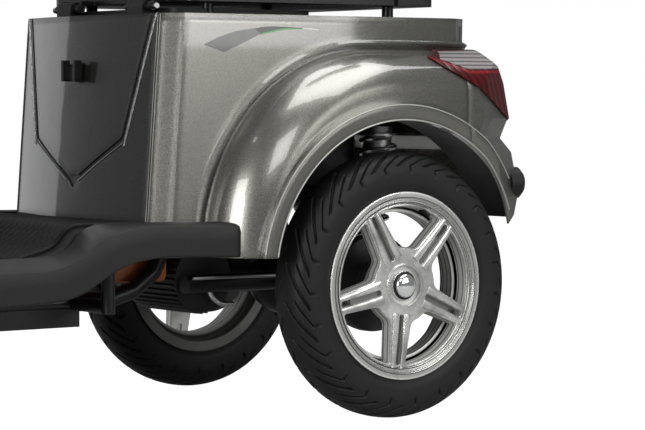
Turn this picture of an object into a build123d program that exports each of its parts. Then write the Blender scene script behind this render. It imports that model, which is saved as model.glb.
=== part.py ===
from build123d import *
import os
from math import sin, cos, tan, radians, hypot, sqrt

os.makedirs("parts", exist_ok=True)

# Overall layout
wheel_base = 1180.0
rear_axle_y = 560.0
front_axle_y = rear_axle_y - wheel_base
track = 557.0
wall = 4.0
rest_gap = 0.3
pin_play = 0.05

# Wheels
tyre_d = 406.0
tyre_w = 80.0
axle_z = tyre_d / 2
flange_d = 285.0
flange_x = 37.8
bead_x = 34.3
bead_d = 258.0
# Tyre section above the flange, shares of the half width and of the wall's height
tyre_section = ((1.0, 0.42), (0.90, 0.75), (0.62, 0.93), (0.30, 1.0))
rim_wall = 3.0
# Rim section, axial place and radius: the tyre side, then the visible side
rim_outside = ((37.8, 142.5), (34.3, 142.5), (34.3, 129.0), (20.0, 127.5), (12.0, 116.0), (-12.0, 116.0),
               (-20.0, 127.5), (-34.3, 129.0), (-34.3, 142.5), (-37.8, 142.5))
rim_inside = ((-37.8, 126.0), (-24.0, 123.0), (-16.0, 111.5), (18.0, 111.5), (18.0, 118.0), (27.0, 119.0),
              (27.0, 124.0), (34.0, 125.0), (35.0, 131.0), (37.8, 133.0))
spoke_count = 5
spoke_start = -29.7
spoke_hub_w = 40.0
spoke_rim_w = 25.0
spoke_gap = 9.5
spoke_gap_deep = 7.0
spoke_x = 33.0
spoke_t = 20.0
window_in_r = 57.0
window_out_r = 121.0
window_round = 15.0
window_small = 4.0
window_draft = 6.0
channel_r = 44.0
slot_len = 18.0
hub_ring_d = 67.0
hub_ring_out = 2.0
hub_d = 76.0
hub_recess_d = 60.0
hub_recess = 5.0
spindle_r = 8.5
cap_d = 46.0
cap_h = 15.0
cap_shares = ((1.0, 0.0), (1.0, 0.25), (0.86, 0.6), (0.5, 0.9), (0.0, 1.0))
drum_d = 150.0
drum_w = 24.0
drum_front_w = 14.0

# Body shell
body_z = 253.0
body_top = 612.0
side_x = 215.0
corner_x = 190.0
corner_run = 29.0
front_y = 172.0
front_rake = 0.075
ridge_y = 555.0
ridge_z = 264.0
arch_z = 215.0
arch_gap = 35.0
arch_r = tyre_d / 2 + arch_gap
ridge_rise = 74.0
ridge_r = arch_r + ridge_rise
ridge_up = 4.0
# Convex side of the flare, width from the middle and distance from the ridge's centre
dome_start = (212.0, ridge_r - 14.0)
dome_mid = (267.0, ridge_r - 27.0)
dome_end = (306.0, arch_r + 2.0)
lip_w = 24.0
lip_out = 8.0
# The rear of the lip tucks in from this place on
lip_tuck_y = 690.0
lip_tuck_x = 34.0
rear_cut_z = 280.0
seam_y = 689.0
seam_top_y = 752.0
seam_step_z = 545.0
reach = 40.0
# Rear outline in plan below and above the ridge
rear_low = ((0.0, 836.0), (170.0, 834.0), (240.0, 824.0), (278.0, 802.0), (300.0, 752.0), (318.0, 690.0), (330.0, 600.0))
rear_high = ((0.0, 784.0), (150.0, 776.0), (196.0, 760.0), (212.0, 734.0), (222.0, 690.0), (300.0, 600.0), (330.0, 520.0))
# Heights of the rear outline: height, outline, shift to the rear
rear_levels = (
    (213.0, rear_low, 0.0),
    (328.0, rear_low, 10.0),
    (378.0, rear_low, 3.0),
    (402.0, rear_low, -3.0),
    (424.0, rear_low, -26.0),
    (456.0, rear_low, -10.0),
    (510.0, rear_low, -22.0),
    (536.0, rear_low, -33.0),
    (564.0, rear_low, -72.0),
    (576.0, rear_high, 6.0),
    (652.0, rear_high, 8.0),
)
# Lower edge of the rear panel in the side view
rear_hem = ((752.0, 280.0), (779.0, 284.0), (803.0, 303.0), (812.0, 330.0), (880.0, 338.0))

# Tail lamp outline in the side view
lamp_points = ((640.0, 550.0), (678.0, 563.0), (754.0, 563.0), (850.0, 540.0), (850.0, 418.0), (655.0, 536.0))
lamp_proud = 2.0
lamp_in_x = 190.0

# Front panel
panel_half = 187.5
panel_sag = 16.0
panel_t = 3.0
panel_z = 303.0
hook_z = 525.0
groove_deep = 2.0
groove_w = 6.0
chevron_low = ((180.0, 620.0), (126.0, 424.0), (14.0, 364.0), (0.0, 350.0))
# Upper edge of the groove: place, then how many groove widths it lies inwards and up
chevron_high = ((0.0, 366.0, 0.0, 1.0), (14.0, 364.0, 0.3, 1.0), (126.0, 424.0, 1.0, 0.7), (180.0, 620.0, 1.0, 0.0))

# Floor
floor_half = 284.0
floor_t = 24.0
floor_front = front_axle_y + 275.0
floor_line = ((floor_front, 244.0), (-100.0, 244.0), (1.0, 273.0), (34.0, 300.0), (200.0, 303.0))
floor_notch = 24.0
floor_notch_y = front_axle_y + 324.0
skirt_w = 44.0
# Top of the skirt at its outer face, at its inner edge, and its lower edge
skirt_out = ((floor_front, 248.0), (-60.0, 250.0), (-30.0, 254.0), (28.0, 276.0), (70.0, 299.0), (120.0, 306.0), (286.0, 303.0))
skirt_in = ((floor_front, 262.0), (-60.0, 265.0), (-14.0, 268.0), (10.0, 278.0), (34.0, 303.0), (83.0, 309.0), (286.0, 306.0))
skirt_low = ((286.0, 254.0), (161.0, 258.0), (95.0, 251.0), (49.0, 232.0), (6.0, 210.0), (-24.0, 203.0), (floor_front, 199.0))
mat_half = 215.0
mat_t = 6.0
mat_margin = 12.0

# Steering geometry
rake = 24.0
fork_offset = 30.0
crown_z = 450.0
head_low = 20.0
head_high = 190.0
head_d = 48.0
steerer_r = 14.0
leg_x = 72.0
leg_r = 14.0
crown_t = 24.0
fender_r = tyre_d / 2 + 14.0
fender_t = 3.0
fender_half = 50.0
bar_up = 500.0
bar_half = 210.0
bar_r = 11.0
grip_len = 105.0
grip_r = 16.0
grip_back = 90.0
stem_up = 420.0

# Front body
# Leg shield sections: height, half width, middle from the front axle, sag of the sides
shield_rows = (
    (235.0, 235.0, 302.0, 26.0),
    (540.0, 215.0, 320.0, 40.0),
    (800.0, 120.0, 358.0, 30.0),
)
# Fairing sections: height, half width, nose from the front axle
fairing_rows = ((500.0, 110.0, 60.0), (650.0, 150.0, 68.0), (792.0, 100.0, 200.0))
bow_steps = 6
headlamp_r = 55.0
headlamp_z = 680.0
headlamp_y = front_axle_y + 60.0
headlamp_len = 60.0

headlamp_bulge = 16.0
lens_shares = ((1.0, 0.0), (0.94, 0.3), (0.72, 0.62), (0.3, 0.9), (0.0, 1.0))
bumper_x = 262.0
bumper_y = 800.0
bumper_z = 353.0
bumper_r = 25.0
bumper_len = 26.0
bumper_splay = 0.2
bumper_round = 6.0
hook_out = 8.0
hook_w = 40.0
hook_h = 26.0
hook_t = 6.0
hook_lip = 6.0
bolt_y = 670.0
bolt_pitch_x = 240.0
bolt_pitch_y = 60.0
bolt_r = 3.3
battery_round = 8.0
guard_in_x = 212.0
guard_out = 6.0
guard_low_z = 300.0

# Frame, tub and drive
down_y = front_axle_y + 290.0
down_up = 60.0
spread_y = front_axle_y + 370.0
pads = (front_axle_y + 420.0, 40.0)
pad_w = 24.0
outrigger_x = 200.0
outrigger_y = 103.0
outrigger_r = 10.0
tray_y = 110.0
tray_t = 28.0
cross_r = 12.0
shock_plate = 12.0
shock_y = 590.0
spindle_end = track / 2 + 27.5
diff_r = 62.0
arm_r = 14.0
rib_count = 4
rib_w = 12.0
rib_out = 6.0
rail_r = 13.0
rail_x = track / 2 - 183.5
rear_cross = rail_x + 35.0
rail_z = 184.0
kick_y = 160.0
# Rail's kick-up to the rear: run behind the kick and height over the rail
kick_rise = ((0.0, 0.0), (50.0, 14.0), (86.0, 40.0), (140.0, 146.0))
rail_top_z = rail_z + kick_rise[-1][1]
rail_end_y = 770.0
cross_y = 613.0
cross_z = 455.0
tub_half = 150.0
tub_y = (262.0, 585.0)
tub_z = 352.0
tub_t = 3.0
deck_t = 5.0
battery_size = (200.0, 250.0, 150.0)
housing_r = 24.0
housing_half = track / 2 - 73.5
motor_y = 352.0
motor_z = 208.0
motor_r = 48.0
motor_half = 75.0
shock_x = track / 2 - 100.5
shock_r = 22.0

# Seat
hinge_y = 222.0
hinge_z = 624.0
hinge_x = 103.0
hinge_w = 40.0
hinge_r = 11.5
hinge_pin_r = 4.0
hinge_eye_r = 7.0
seat_half = 200.0
seat_y = (246.0, 712.0)
seat_z = 630.0
seat_t = 26.0
cushion_half = 212.0
cushion_y = (228.0, 690.0)
cushion_h = 92.0
back_pivot_y = 712.0
back_pivot_z = 805.0
back_half = 195.0
back_y = (640.0, 706.0)
back_z = (806.0, 1160.0)
arm_x = 258.0
arm_w = 50.0
arm_len = 250.0
arm_h = 34.0
arm_pivot_y = 640.0
arm_pivot_z = 860.0

seat_round = 22.0
hinge_arm = 14.0
hinge_side = 1.0
foot_x = 165.0
foot_y = (300.0, 640.0)
foot_r = 9.0
bracket_t = 6.0
cushion_round = 24.0
back_t = 12.0
back_lean = 60.0

# Small pieces on the steering
fender_low = 60.0
post_w = 30.0
post_len = 60.0
bar_out = 70.0
bar_fall = 12.0
dash_w = 130.0
dash_long = 90.0
dash_t = 50.0
dash_round = 18.0
dash_taper = 6.0
mirror_foot_x = 150.0
mirror_sink = 4.0
mirror_x = 215.0
mirror_ahead = 20.0
mirror_up = 190.0
mirror_stem_r = 5.0
mirror_r = 52.0
mirror_t = 18.0

# Derived sizes
s_rake = sin(radians(rake))
c_rake = cos(radians(rake))
fork_drop = (crown_z + fork_offset * s_rake - axle_z) / c_rake
steer_y = front_axle_y + fork_offset * c_rake + fork_drop * s_rake
tyre_r = tyre_d / 2
steer_plane = Plane(origin=(0, steer_y, crown_z), x_dir=(1, 0, 0), z_dir=(0, s_rake, c_rake))


def keep(piece, name):
    piece.part.label = name
    export_step(piece.part, "parts/" + name + ".step")


def rod(start, end, radius):
    start, end = Vector(*start), Vector(*end)
    with Locations(Plane(origin=start, z_dir=end - start)):
        Cylinder(radius, (end - start).length, align=(Align.CENTER, Align.CENTER, Align.MIN))


def wheel_plane(x, y):
    return Plane(origin=(x, y, axle_z), x_dir=(1, 0, 0), z_dir=(0, -1, 0))


def side_plane(x):
    return Plane(origin=(x, 0, 0), x_dir=(0, 1, 0), z_dir=(1, 0, 0))


def inset_line(points, amount):
    # Each segment moves to its right-hand side and meets the next one
    moved = []
    for (ax, ay), (bx, by) in zip(points, points[1:]):
        run = hypot(bx - ax, by - ay)
        nx, ny = (by - ay) / run * amount, -(bx - ax) / run * amount
        moved.append((ax + nx, ay + ny, bx + nx, by + ny))
    result = [moved[0][:2]]
    for (ax, ay, bx, by), (cx, cy, dx, dy) in zip(moved, moved[1:]):
        turn = (bx - ax) * (dy - cy) - (by - ay) * (dx - cx)
        share = ((cx - ax) * (dy - cy) - (cy - ay) * (dx - cx)) / turn
        result.append((ax + (bx - ax) * share, ay + (by - ay) * share))
    return result + [moved[-1][2:]]


# Wheels: tyre, rim, hub cap and brake drum
wheels = {
    "front": (0.0, front_axle_y, 1),
    "left": (track / 2, rear_axle_y, 1),
    "right": (-track / 2, rear_axle_y, -1),
}
with BuildSketch() as windows:
    Circle(window_out_r)
    Circle(window_in_r, mode=Mode.SUBTRACT)
    with PolarLocations(0, spoke_count):
        Polygon((channel_r, -spoke_hub_w / 2), (flange_d / 2, -spoke_rim_w / 2), (flange_d / 2, spoke_rim_w / 2),
                (channel_r, spoke_hub_w / 2), align=None, mode=Mode.SUBTRACT)
    fillet([v for v in windows.vertices() if Vector(*v).length < window_out_r / 2], window_round)
    fillet([v for v in windows.vertices() if Vector(*v).length > window_out_r * 0.9], window_small)

for tag, (wx, wy, way) in wheels.items():
    axle = Axis((0, wy, axle_z), (1, 0, 0))
    half = tyre_w / 2
    with BuildPart() as tyre:
        with BuildSketch(wheel_plane(wx, wy)):
            with BuildLine():
                rise = tyre_r - flange_d / 2
                right = [(bead_x, bead_d / 2), (bead_x, flange_d / 2)]
                right += [(wide * half, flange_d / 2 + high * rise) for wide, high in tyre_section]
                Polyline(*right, *[(-x, r) for x, r in reversed(right)], close=True)
            make_face()
        revolve(axis=axle)
    keep(tyre, "tyre_" + tag)

    face_x = way * spoke_x
    face = side_plane(wx + face_x)
    with BuildPart() as rim:
        with BuildSketch(wheel_plane(wx, wy)):
            with BuildLine():
                Polyline(*[(way * x, r) for x, r in rim_outside + rim_inside], close=True)
            make_face()
        revolve(axis=axle)
        with BuildSketch(face):
            with Locations((wy, axle_z)):
                Circle(window_out_r + rim_wall)
        extrude(amount=-way * spoke_t)
        with BuildSketch(face):
            with Locations(Location((wy, axle_z, 0), 90 - spoke_start)):
                add(windows.sketch)
        extrude(amount=-way * (spoke_t + rim_wall), taper=window_draft, mode=Mode.SUBTRACT)
        with Locations(Plane(origin=(wx - way * flange_x, wy, axle_z), z_dir=(way, 0, 0))):
            Cylinder(hub_d / 2, flange_x + spoke_x - spoke_t / 2, align=(Align.CENTER, Align.CENTER, Align.MIN))
        with Locations(Plane(origin=(wx + face_x, wy, axle_z), z_dir=(way, 0, 0))):
            Cylinder(hub_ring_d / 2, hub_ring_out, align=(Align.CENTER, Align.CENTER, Align.MIN))
        with BuildSketch(face):
            with Locations(Location((wy, axle_z, 0), 90 - spoke_start)):
                with PolarLocations(0, spoke_count):
                    with Locations(((channel_r + window_out_r) / 2, 0)):
                        SlotOverall(window_out_r - channel_r, spoke_gap)
        extrude(amount=-way * spoke_gap_deep, mode=Mode.SUBTRACT)
        with BuildSketch(face):
            with Locations(Location((wy, axle_z, 0), 90 - spoke_start)):
                with PolarLocations(0, spoke_count):
                    with Locations((window_out_r - slot_len / 2 - rim_wall, 0)):
                        Rectangle(slot_len, spoke_gap - rim_wall / 2)
        extrude(amount=-way * spoke_t, mode=Mode.SUBTRACT)
        with Locations(Plane(origin=(wx + face_x + way * hub_ring_out, wy, axle_z), z_dir=(-way, 0, 0))):
            Cylinder(hub_recess_d / 2, hub_recess + hub_ring_out, align=(Align.CENTER, Align.CENTER, Align.MIN),
                     mode=Mode.SUBTRACT)
        with Locations(Plane(origin=(wx, wy, axle_z), z_dir=(1, 0, 0))):
            Cylinder(spindle_r + pin_play, tyre_w * 2, mode=Mode.SUBTRACT)
    keep(rim, "rim_" + tag)

    if tag != "front":
        with BuildPart() as cap:
            with BuildSketch(wheel_plane(wx + way * (spoke_x - hub_recess), wy)):
                with BuildLine():
                    Polyline((0, 0), *[(way * cap_h * high, cap_d / 2 * wide) for high, wide in cap_shares], close=True)
                make_face()
            revolve(axis=axle)
        keep(cap, "hub_cap_" + tag)

    drum_long = drum_front_w if tag == "front" else drum_w
    with BuildPart() as drum:
        with Locations(Plane(origin=(wx - way * flange_x, wy, axle_z), z_dir=(-way, 0, 0))):
            Cylinder(drum_d / 2, drum_long, align=(Align.CENTER, Align.CENTER, Align.MIN))
            Cylinder(spindle_r + pin_play, drum_long, align=(Align.CENTER, Align.CENTER, Align.MIN),
                     mode=Mode.SUBTRACT)
    keep(drum, "brake_drum_" + tag)


# Body shell as nested solids
def chamfer_at(z, inset):
    y = front_y + front_rake * (z - body_z)
    run = hypot(side_x - corner_x, corner_run)
    lead = (corner_x - (side_x - corner_x) / run * reach, y - corner_run / run * reach)
    line = [lead, (side_x, y + corner_run), (side_x, rear_axle_y + tyre_d)]
    return inset_line(line, -inset) if inset else line


def rear_at(outline, shift, inset):
    line = [(x, y + shift) for x, y in outline]
    line = [(-line[1][0], line[1][1])] + line
    return inset_line(line, inset)[1:] if inset else line[1:]


def dome_arc(inset):
    # The flare's convex side as three points, moved towards the arc's centre by the inset
    (ax, ay), (bx, by), (cx, cy) = dome_start, dome_mid, dome_end
    twice = 2 * (ax * (by - cy) + bx * (cy - ay) + cx * (ay - by))
    ux = ((ax * ax + ay * ay) * (by - cy) + (bx * bx + by * by) * (cy - ay) + (cx * cx + cy * cy) * (ay - by)) / twice
    uy = ((ax * ax + ay * ay) * (cx - bx) + (bx * bx + by * by) * (ax - cx) + (cx * cx + cy * cy) * (bx - ax)) / twice
    radius = hypot(ax - ux, ay - uy)
    share = 1 - inset / radius
    return [(ux + (x - ux) * share, uy + (y - uy) * share) for x, y in (dome_start, dome_mid, dome_end)]


def dome_outline(inset, low):
    start, mid, end = dome_arc(inset)
    if inset:
        Line((0, start[1]), start)
    else:
        Polyline((0, ridge_r), (side_x, ridge_r), (side_x + ridge_up, ridge_r - ridge_up), start)
    ThreePointArc(start, mid, end)
    Polyline(end, (end[0], low), (0, low), (0, start[1] if inset else ridge_r))


def body_half(inset):
    over = reach if inset > 0 else 0
    with BuildPart() as half:
        with BuildSketch(Plane(origin=(0, ridge_y, ridge_z), x_dir=(1, 0, 0), z_dir=(0, -1, 0))):
            with BuildLine():
                dome_outline(inset, 0)
            make_face()
        revolve(axis=Axis((0, ridge_y, ridge_z), (1, 0, 0)), revolution_arc=110)
        with BuildSketch(Plane(origin=(0, ridge_y, ridge_z), x_dir=(1, 0, 0), z_dir=(0, -1, 0))):
            with BuildLine():
                dome_outline(inset, -reach)
            make_face()
        extrude(amount=-tyre_d)
        levels = (body_z - reach, body_top + over)
        for z in levels:
            with BuildSketch(Plane.XY.offset(z)):
                with BuildLine():
                    line = chamfer_at(z, inset)
                    Polyline((0, line[0][1]), *line, (0, line[-1][1]), close=True)
                make_face()
        loft(ruled=True)
    with BuildPart() as plan:
        for z, outline, shift in rear_levels:
            with BuildSketch(Plane.XY.offset(z)):
                with BuildLine():
                    line = rear_at(outline, shift, inset)
                    Polyline((0, 0), *line, (line[-1][0], 0), close=True)
                make_face()
        loft(ruled=True)
    return half.part & plan.part


outer = body_half(0)
inner = body_half(wall)
lamp_outer = body_half(-lamp_proud)

with BuildPart() as arch:
    with BuildSketch(side_plane(tub_half)):
        with Locations((rear_axle_y, arch_z)):
            Circle(arch_r)
    extrude(amount=tyre_d)

with BuildPart() as lip:
    with BuildSketch(side_plane(dome_end[0] - wall)):
        with Locations((rear_axle_y, arch_z)):
            Circle(arch_r + lip_w)
            Circle(arch_r, mode=Mode.SUBTRACT)
        with Locations((rear_axle_y - tyre_d, body_z - tyre_d), (rear_axle_y + tyre_d, rear_cut_z - tyre_d)):
            Rectangle(tyre_d * 2, tyre_d * 2, mode=Mode.SUBTRACT)
    extrude(amount=wall + lip_out)

with BuildPart() as lamp_prism:
    with BuildSketch(side_plane(lamp_in_x)):
        with BuildLine():
            Polyline(*lamp_points, close=True)
        make_face()
    extrude(amount=tyre_d)

with BuildPart() as lamp_hole:
    with BuildSketch(side_plane(lamp_in_x)):
        with BuildLine():
            Polyline(*lamp_points, close=True)
        make_face()
        offset(amount=rest_gap, kind=Kind.INTERSECTION)
    extrude(amount=tyre_d)

# The rear zone lies behind a stepped seam
with BuildPart() as rear_zone:
    with BuildSketch(side_plane(-tyre_d)):
        with BuildLine():
            Polyline(
                (seam_y, rear_cut_z),
                (seam_y, seam_step_z),
                (seam_top_y, seam_step_z),
                (seam_top_y, body_top),
                (rear_hem[-1][0], body_top),
                *reversed(rear_hem),
                close=True,
            )
        make_face()
    extrude(amount=tyre_d * 2)

with BuildPart() as front_zone:
    with BuildSketch(side_plane(corner_x)):
        with BuildLine():
            Polyline(
                (0, body_z),
                (rear_axle_y, body_z),
                (rear_axle_y, rear_cut_z),
                (seam_y, rear_cut_z),
                (seam_y, seam_step_z),
                (seam_top_y, seam_step_z),
                (seam_top_y, body_top),
                (0, body_top),
                close=True,
            )
        make_face()
    extrude(amount=tyre_d)

with BuildPart() as lip_tuck:
    for z, shift in ((rear_cut_z - reach, 0), (ridge_z + ridge_r, 0)):
        with BuildSketch(Plane.XY.offset(z)):
            Polygon((dome_end[0] - reach, 0), (dome_end[0] + lip_out * 2, 0), (dome_end[0] + lip_out * 2, lip_tuck_y),
                    (dome_end[0] - lip_tuck_x, rear_hem[-1][0]), (dome_end[0] - reach, rear_hem[-1][0]), align=None)
    loft(ruled=True)

shell_left = (outer - inner - arch.part) + (lip.part & lip_tuck.part) - lamp_hole.part
panel_left = shell_left & front_zone.part
rear_left = shell_left & rear_zone.part
rear_both = rear_left + mirror(rear_left, about=Plane.YZ)
body_block = outer & front_zone.part
inner_both = inner + mirror(inner, about=Plane.YZ)
lamp_left = (lamp_outer - inner) & lamp_prism.part

with BuildPart() as side_left:
    add(panel_left)
keep(side_left, "side_panel_left")
with BuildPart() as side_right:
    add(panel_left)
    mirror(about=Plane.YZ, mode=Mode.REPLACE)
keep(side_right, "side_panel_right")
with BuildPart() as rear_panel:
    add(rear_both)
keep(rear_panel, "rear_panel")
with BuildPart() as tail_left:
    add(lamp_left)
keep(tail_left, "tail_lamp_left")
with BuildPart() as tail_right:
    add(lamp_left)
    mirror(about=Plane.YZ, mode=Mode.REPLACE)
keep(tail_right, "tail_lamp_right")

# Round bumpers at the rear corners
for way, tag in ((1, "left"), (-1, "right")):
    with BuildPart() as bumper:
        with Locations(Plane(origin=(way * bumper_x, bumper_y, bumper_z), z_dir=(way * bumper_splay, 1, 0))):
            Cylinder(bumper_r, bumper_len, align=(Align.CENTER, Align.CENTER, Align.MIN))
        chamfer(bumper.faces().sort_by(Axis.Y)[-1].edges(), bumper_round)
        add(rear_both, mode=Mode.SUBTRACT)
        add(inner_both, mode=Mode.SUBTRACT)
    keep(bumper, "bumper_" + tag)

# Front panel under the seat, its chevron groove and its hook
with BuildPart() as groove_skin:
    for z in (panel_z, body_top):
        y = front_y + front_rake * (z - body_z)
        with BuildSketch(Plane.XY.offset(z)):
            with BuildLine():
                ThreePointArc((-panel_half, y), (0, y - panel_sag), (panel_half, y))
                Line((panel_half, y), (panel_half, y + groove_deep))
                ThreePointArc((panel_half, y + groove_deep), (0, y - panel_sag + groove_deep),
                              (-panel_half, y + groove_deep))
                Line((-panel_half, y + groove_deep), (-panel_half, y))
            make_face()
    loft()
with BuildPart() as chevron:
    with BuildSketch(Plane.XZ):
        for way in (1, -1):
            with BuildLine():
                Polyline(*[(way * x, z) for x, z in chevron_low],
                         *[(way * (x - groove_w * turn), z + groove_w * rise) for x, z, turn, rise in chevron_high],
                         close=True)
            make_face()
    extrude(amount=-rear_axle_y)
chevron_cut = groove_skin.part & chevron.part

with BuildPart() as front_panel:
    for z in (panel_z, body_top):
        y = front_y + front_rake * (z - body_z)
        with BuildSketch(Plane.XY.offset(z)):
            with BuildLine():
                ThreePointArc((-panel_half, y), (0, y - panel_sag), (panel_half, y))
                Line((panel_half, y), (panel_half, y + panel_t))
                ThreePointArc((panel_half, y + panel_t), (0, y - panel_sag + panel_t), (-panel_half, y + panel_t))
                Line((-panel_half, y + panel_t), (-panel_half, y))
            make_face()
    loft()
    add(chevron_cut, mode=Mode.SUBTRACT)
keep(front_panel, "front_panel")

with BuildPart() as bag_hook:
    y = front_y + front_rake * (hook_z - body_z) - panel_sag
    with Locations((0, y - hook_out / 2, hook_z)):
        Box(hook_w * 0.6, hook_out + panel_t, hook_h)
    with Locations((0, y - hook_out - hook_t / 2, hook_z)):
        Box(hook_w, hook_t, hook_h * 0.8)
    for way in (1, -1):
        with Locations((way * (hook_w - hook_t) / 2, y - hook_out - hook_t, hook_z + hook_lip / 2)):
            Box(hook_t, hook_t * 2, hook_h + hook_lip)
    add(front_panel.part, mode=Mode.SUBTRACT)
keep(bag_hook, "bag_hook")

# Floor with its side skirts, and the mat on it
with BuildPart() as floor:
    slab = floor_half - skirt_w
    with BuildSketch(side_plane(-slab)):
        with BuildLine():
            Polyline(*floor_line, *[(y, z - floor_t) for y, z in reversed(floor_line)], close=True)
        make_face()
    extrude(amount=slab * 2)
    for way in (1, -1):
        for x, top in ((floor_half, skirt_out), (floor_half - skirt_w, skirt_in)):
            with BuildSketch(side_plane(way * x)):
                with BuildLine():
                    Polyline(*top, *skirt_low, close=True)
                make_face()
        loft(ruled=True)
    with BuildSketch(Plane.XY.offset(axle_z)):
        with Locations((0, floor_notch_y - floor_t)):
            Rectangle(floor_notch * 2, floor_notch * 4)
    extrude(amount=reach * 3, mode=Mode.SUBTRACT)
    add(body_block, mode=Mode.SUBTRACT)
    mirror(body_block, about=Plane.YZ, mode=Mode.SUBTRACT)
keep(floor, "floor_board")

with BuildPart() as mat:
    top = [(y, z) for y, z in floor_line]
    top[0] = (top[0][0] + mat_margin * 4, top[0][1] + (top[1][1] - top[0][1]) * mat_margin * 4 / (top[1][0] - top[0][0]))
    top[-1] = (front_y - panel_sag - mat_margin, top[-1][1])
    with BuildSketch(side_plane(-mat_half)):
        with BuildLine():
            Polyline(*top, *[(y, z + mat_t) for y, z in reversed(top)], close=True)
        make_face()
    extrude(amount=mat_half * 2)
keep(mat, "floor_mat")

# Deck under the seat and the tub hanging from it
with BuildPart() as panel_ahead:
    for z in (panel_z, body_top):
        y = front_y + front_rake * (z - body_z)
        with BuildSketch(Plane.XY.offset(z)):
            with BuildLine():
                ThreePointArc((-panel_half, y + panel_t), (0, y - panel_sag + panel_t), (panel_half, y + panel_t))
                Polyline((panel_half, y + panel_t), (panel_half, 0), (-panel_half, 0), (-panel_half, y + panel_t))
            make_face()
    loft()

with BuildPart() as deck:
    with BuildSketch(Plane.XY.offset(body_top - deck_t)):
        with Locations((0, rear_axle_y)):
            Rectangle((side_x - wall) * 2, rear_axle_y * 2)
        with Locations((0, sum(tub_y) / 2)):
            Rectangle(tub_half * 2, tub_y[1] - tub_y[0], mode=Mode.SUBTRACT)
        with Locations((0, bolt_y)):
            with GridLocations(bolt_pitch_x, bolt_pitch_y, 2, 2):
                Circle(bolt_r, mode=Mode.SUBTRACT)
    extrude(amount=deck_t)
    add(inner_both, mode=Mode.INTERSECT)
    add(panel_ahead.part, mode=Mode.SUBTRACT)
keep(deck, "deck")

with BuildPart() as tub:
    with BuildSketch(Plane.XY.offset(tub_z)):
        with Locations((0, sum(tub_y) / 2)):
            Rectangle(tub_half * 2, tub_y[1] - tub_y[0])
    extrude(amount=body_top - tub_z)
    with BuildSketch(Plane.XY.offset(tub_z + tub_t)):
        with Locations((0, sum(tub_y) / 2)):
            Rectangle(tub_half * 2 - tub_t * 2, tub_y[1] - tub_y[0] - tub_t * 2)
    extrude(amount=body_top - tub_z, mode=Mode.SUBTRACT)
keep(tub, "storage_tub")

with BuildPart() as battery:
    with Locations((0, sum(tub_y) / 2, tub_z + tub_t)):
        Box(*battery_size, align=(Align.CENTER, Align.CENTER, Align.MIN))
    fillet(battery.edges().filter_by(Axis.Z), battery_round)
keep(battery, "battery_pack")

# Inner fenders inside the wheel arches
for way, tag in ((1, "left"), (-1, "right")):
    with BuildPart() as guard:
        with BuildSketch(side_plane(way * guard_in_x)):
            with Locations((rear_axle_y, arch_z)):
                Circle(arch_r + guard_out + wall)
                Circle(arch_r + guard_out, mode=Mode.SUBTRACT)
            with Locations((rear_axle_y, guard_low_z - tyre_d)):
                Rectangle(tyre_d * 2, tyre_d * 2, mode=Mode.SUBTRACT)
        extrude(amount=way * (dome_end[0] - wall - guard_in_x))
        add(inner_both, mode=Mode.INTERSECT)
    keep(guard, "inner_fender_" + tag)


def floor_at(y):
    # Height half way through the floor's thickness
    for (ay, az), (by, bz) in zip(floor_line, floor_line[1:]):
        if ay <= y <= by:
            return az + (bz - az) * (y - ay) / (by - ay) - floor_t / 2
    return floor_line[-1][1] - floor_t / 2


# Frame tubes
head_foot = steer_plane.from_local_coords((0, 0, head_low))
head_top = steer_plane.from_local_coords((0, 0, head_high))
down_top = steer_plane.from_local_coords((0, 0, head_low + down_up))
with BuildPart() as frame:
    rod(tuple(down_top), (0, down_y, rail_z), rail_r)
    with Locations((0, down_y, rail_z)):
        Sphere(rail_r)
    for way in (1, -1):
        nodes = [(0, down_y, rail_z), (way * rail_x, spread_y, rail_z)]
        nodes += [(way * rail_x, kick_y + run, rail_z + rise) for run, rise in kick_rise]
        nodes += [(way * rail_x, rail_end_y, rail_top_z)]
        for start, end in zip(nodes, nodes[1:]):
            rod(start, end, rail_r)
            with Locations(end):
                Sphere(rail_r)
        rod((way * rail_x, cross_y, rail_top_z), (way * rail_x, cross_y, cross_z), cross_r)
        with Locations((way * shock_x, cross_y, cross_z)):
            Box(shock_plate, shock_r * 2, shock_plate * 2)
    rod((-shock_x, cross_y, cross_z), (shock_x, cross_y, cross_z), cross_r)
    for y in (spread_y, kick_y):
        rod((-rail_x, y, rail_z), (rail_x, y, rail_z), cross_r)
    for y in pads:
        for way in (1, -1):
            with Locations((way * rail_x, y, rail_z)):
                Box(pad_w, pad_w, floor_at(y) - rail_z, align=(Align.CENTER, Align.CENTER, Align.MIN))
    rod((-outrigger_x, outrigger_y, rail_z), (outrigger_x, outrigger_y, rail_z), outrigger_r)
    for way in (1, -1):
        rod((way * outrigger_x, outrigger_y, rail_z - outrigger_r), (way * outrigger_x, outrigger_y, floor_at(outrigger_y)),
            outrigger_r)
    with Locations((0, (spread_y + tray_y) / 2, rail_z - rail_r / 2)):
        Box(rail_x * 2 + rail_r * 2, tray_y - spread_y, tray_t, align=(Align.CENTER, Align.CENTER, Align.MAX))
    add(floor.part, mode=Mode.SUBTRACT)
    rod((-rear_cross, rail_end_y, rail_top_z), (rear_cross, rail_end_y, rail_top_z), cross_r)
    rod(tuple(head_foot), tuple(head_top), head_d / 2)
    with Locations(steer_plane):
        Cylinder(steerer_r + pin_play, fork_drop * 4, mode=Mode.SUBTRACT)
keep(frame, "main_frame")

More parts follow.
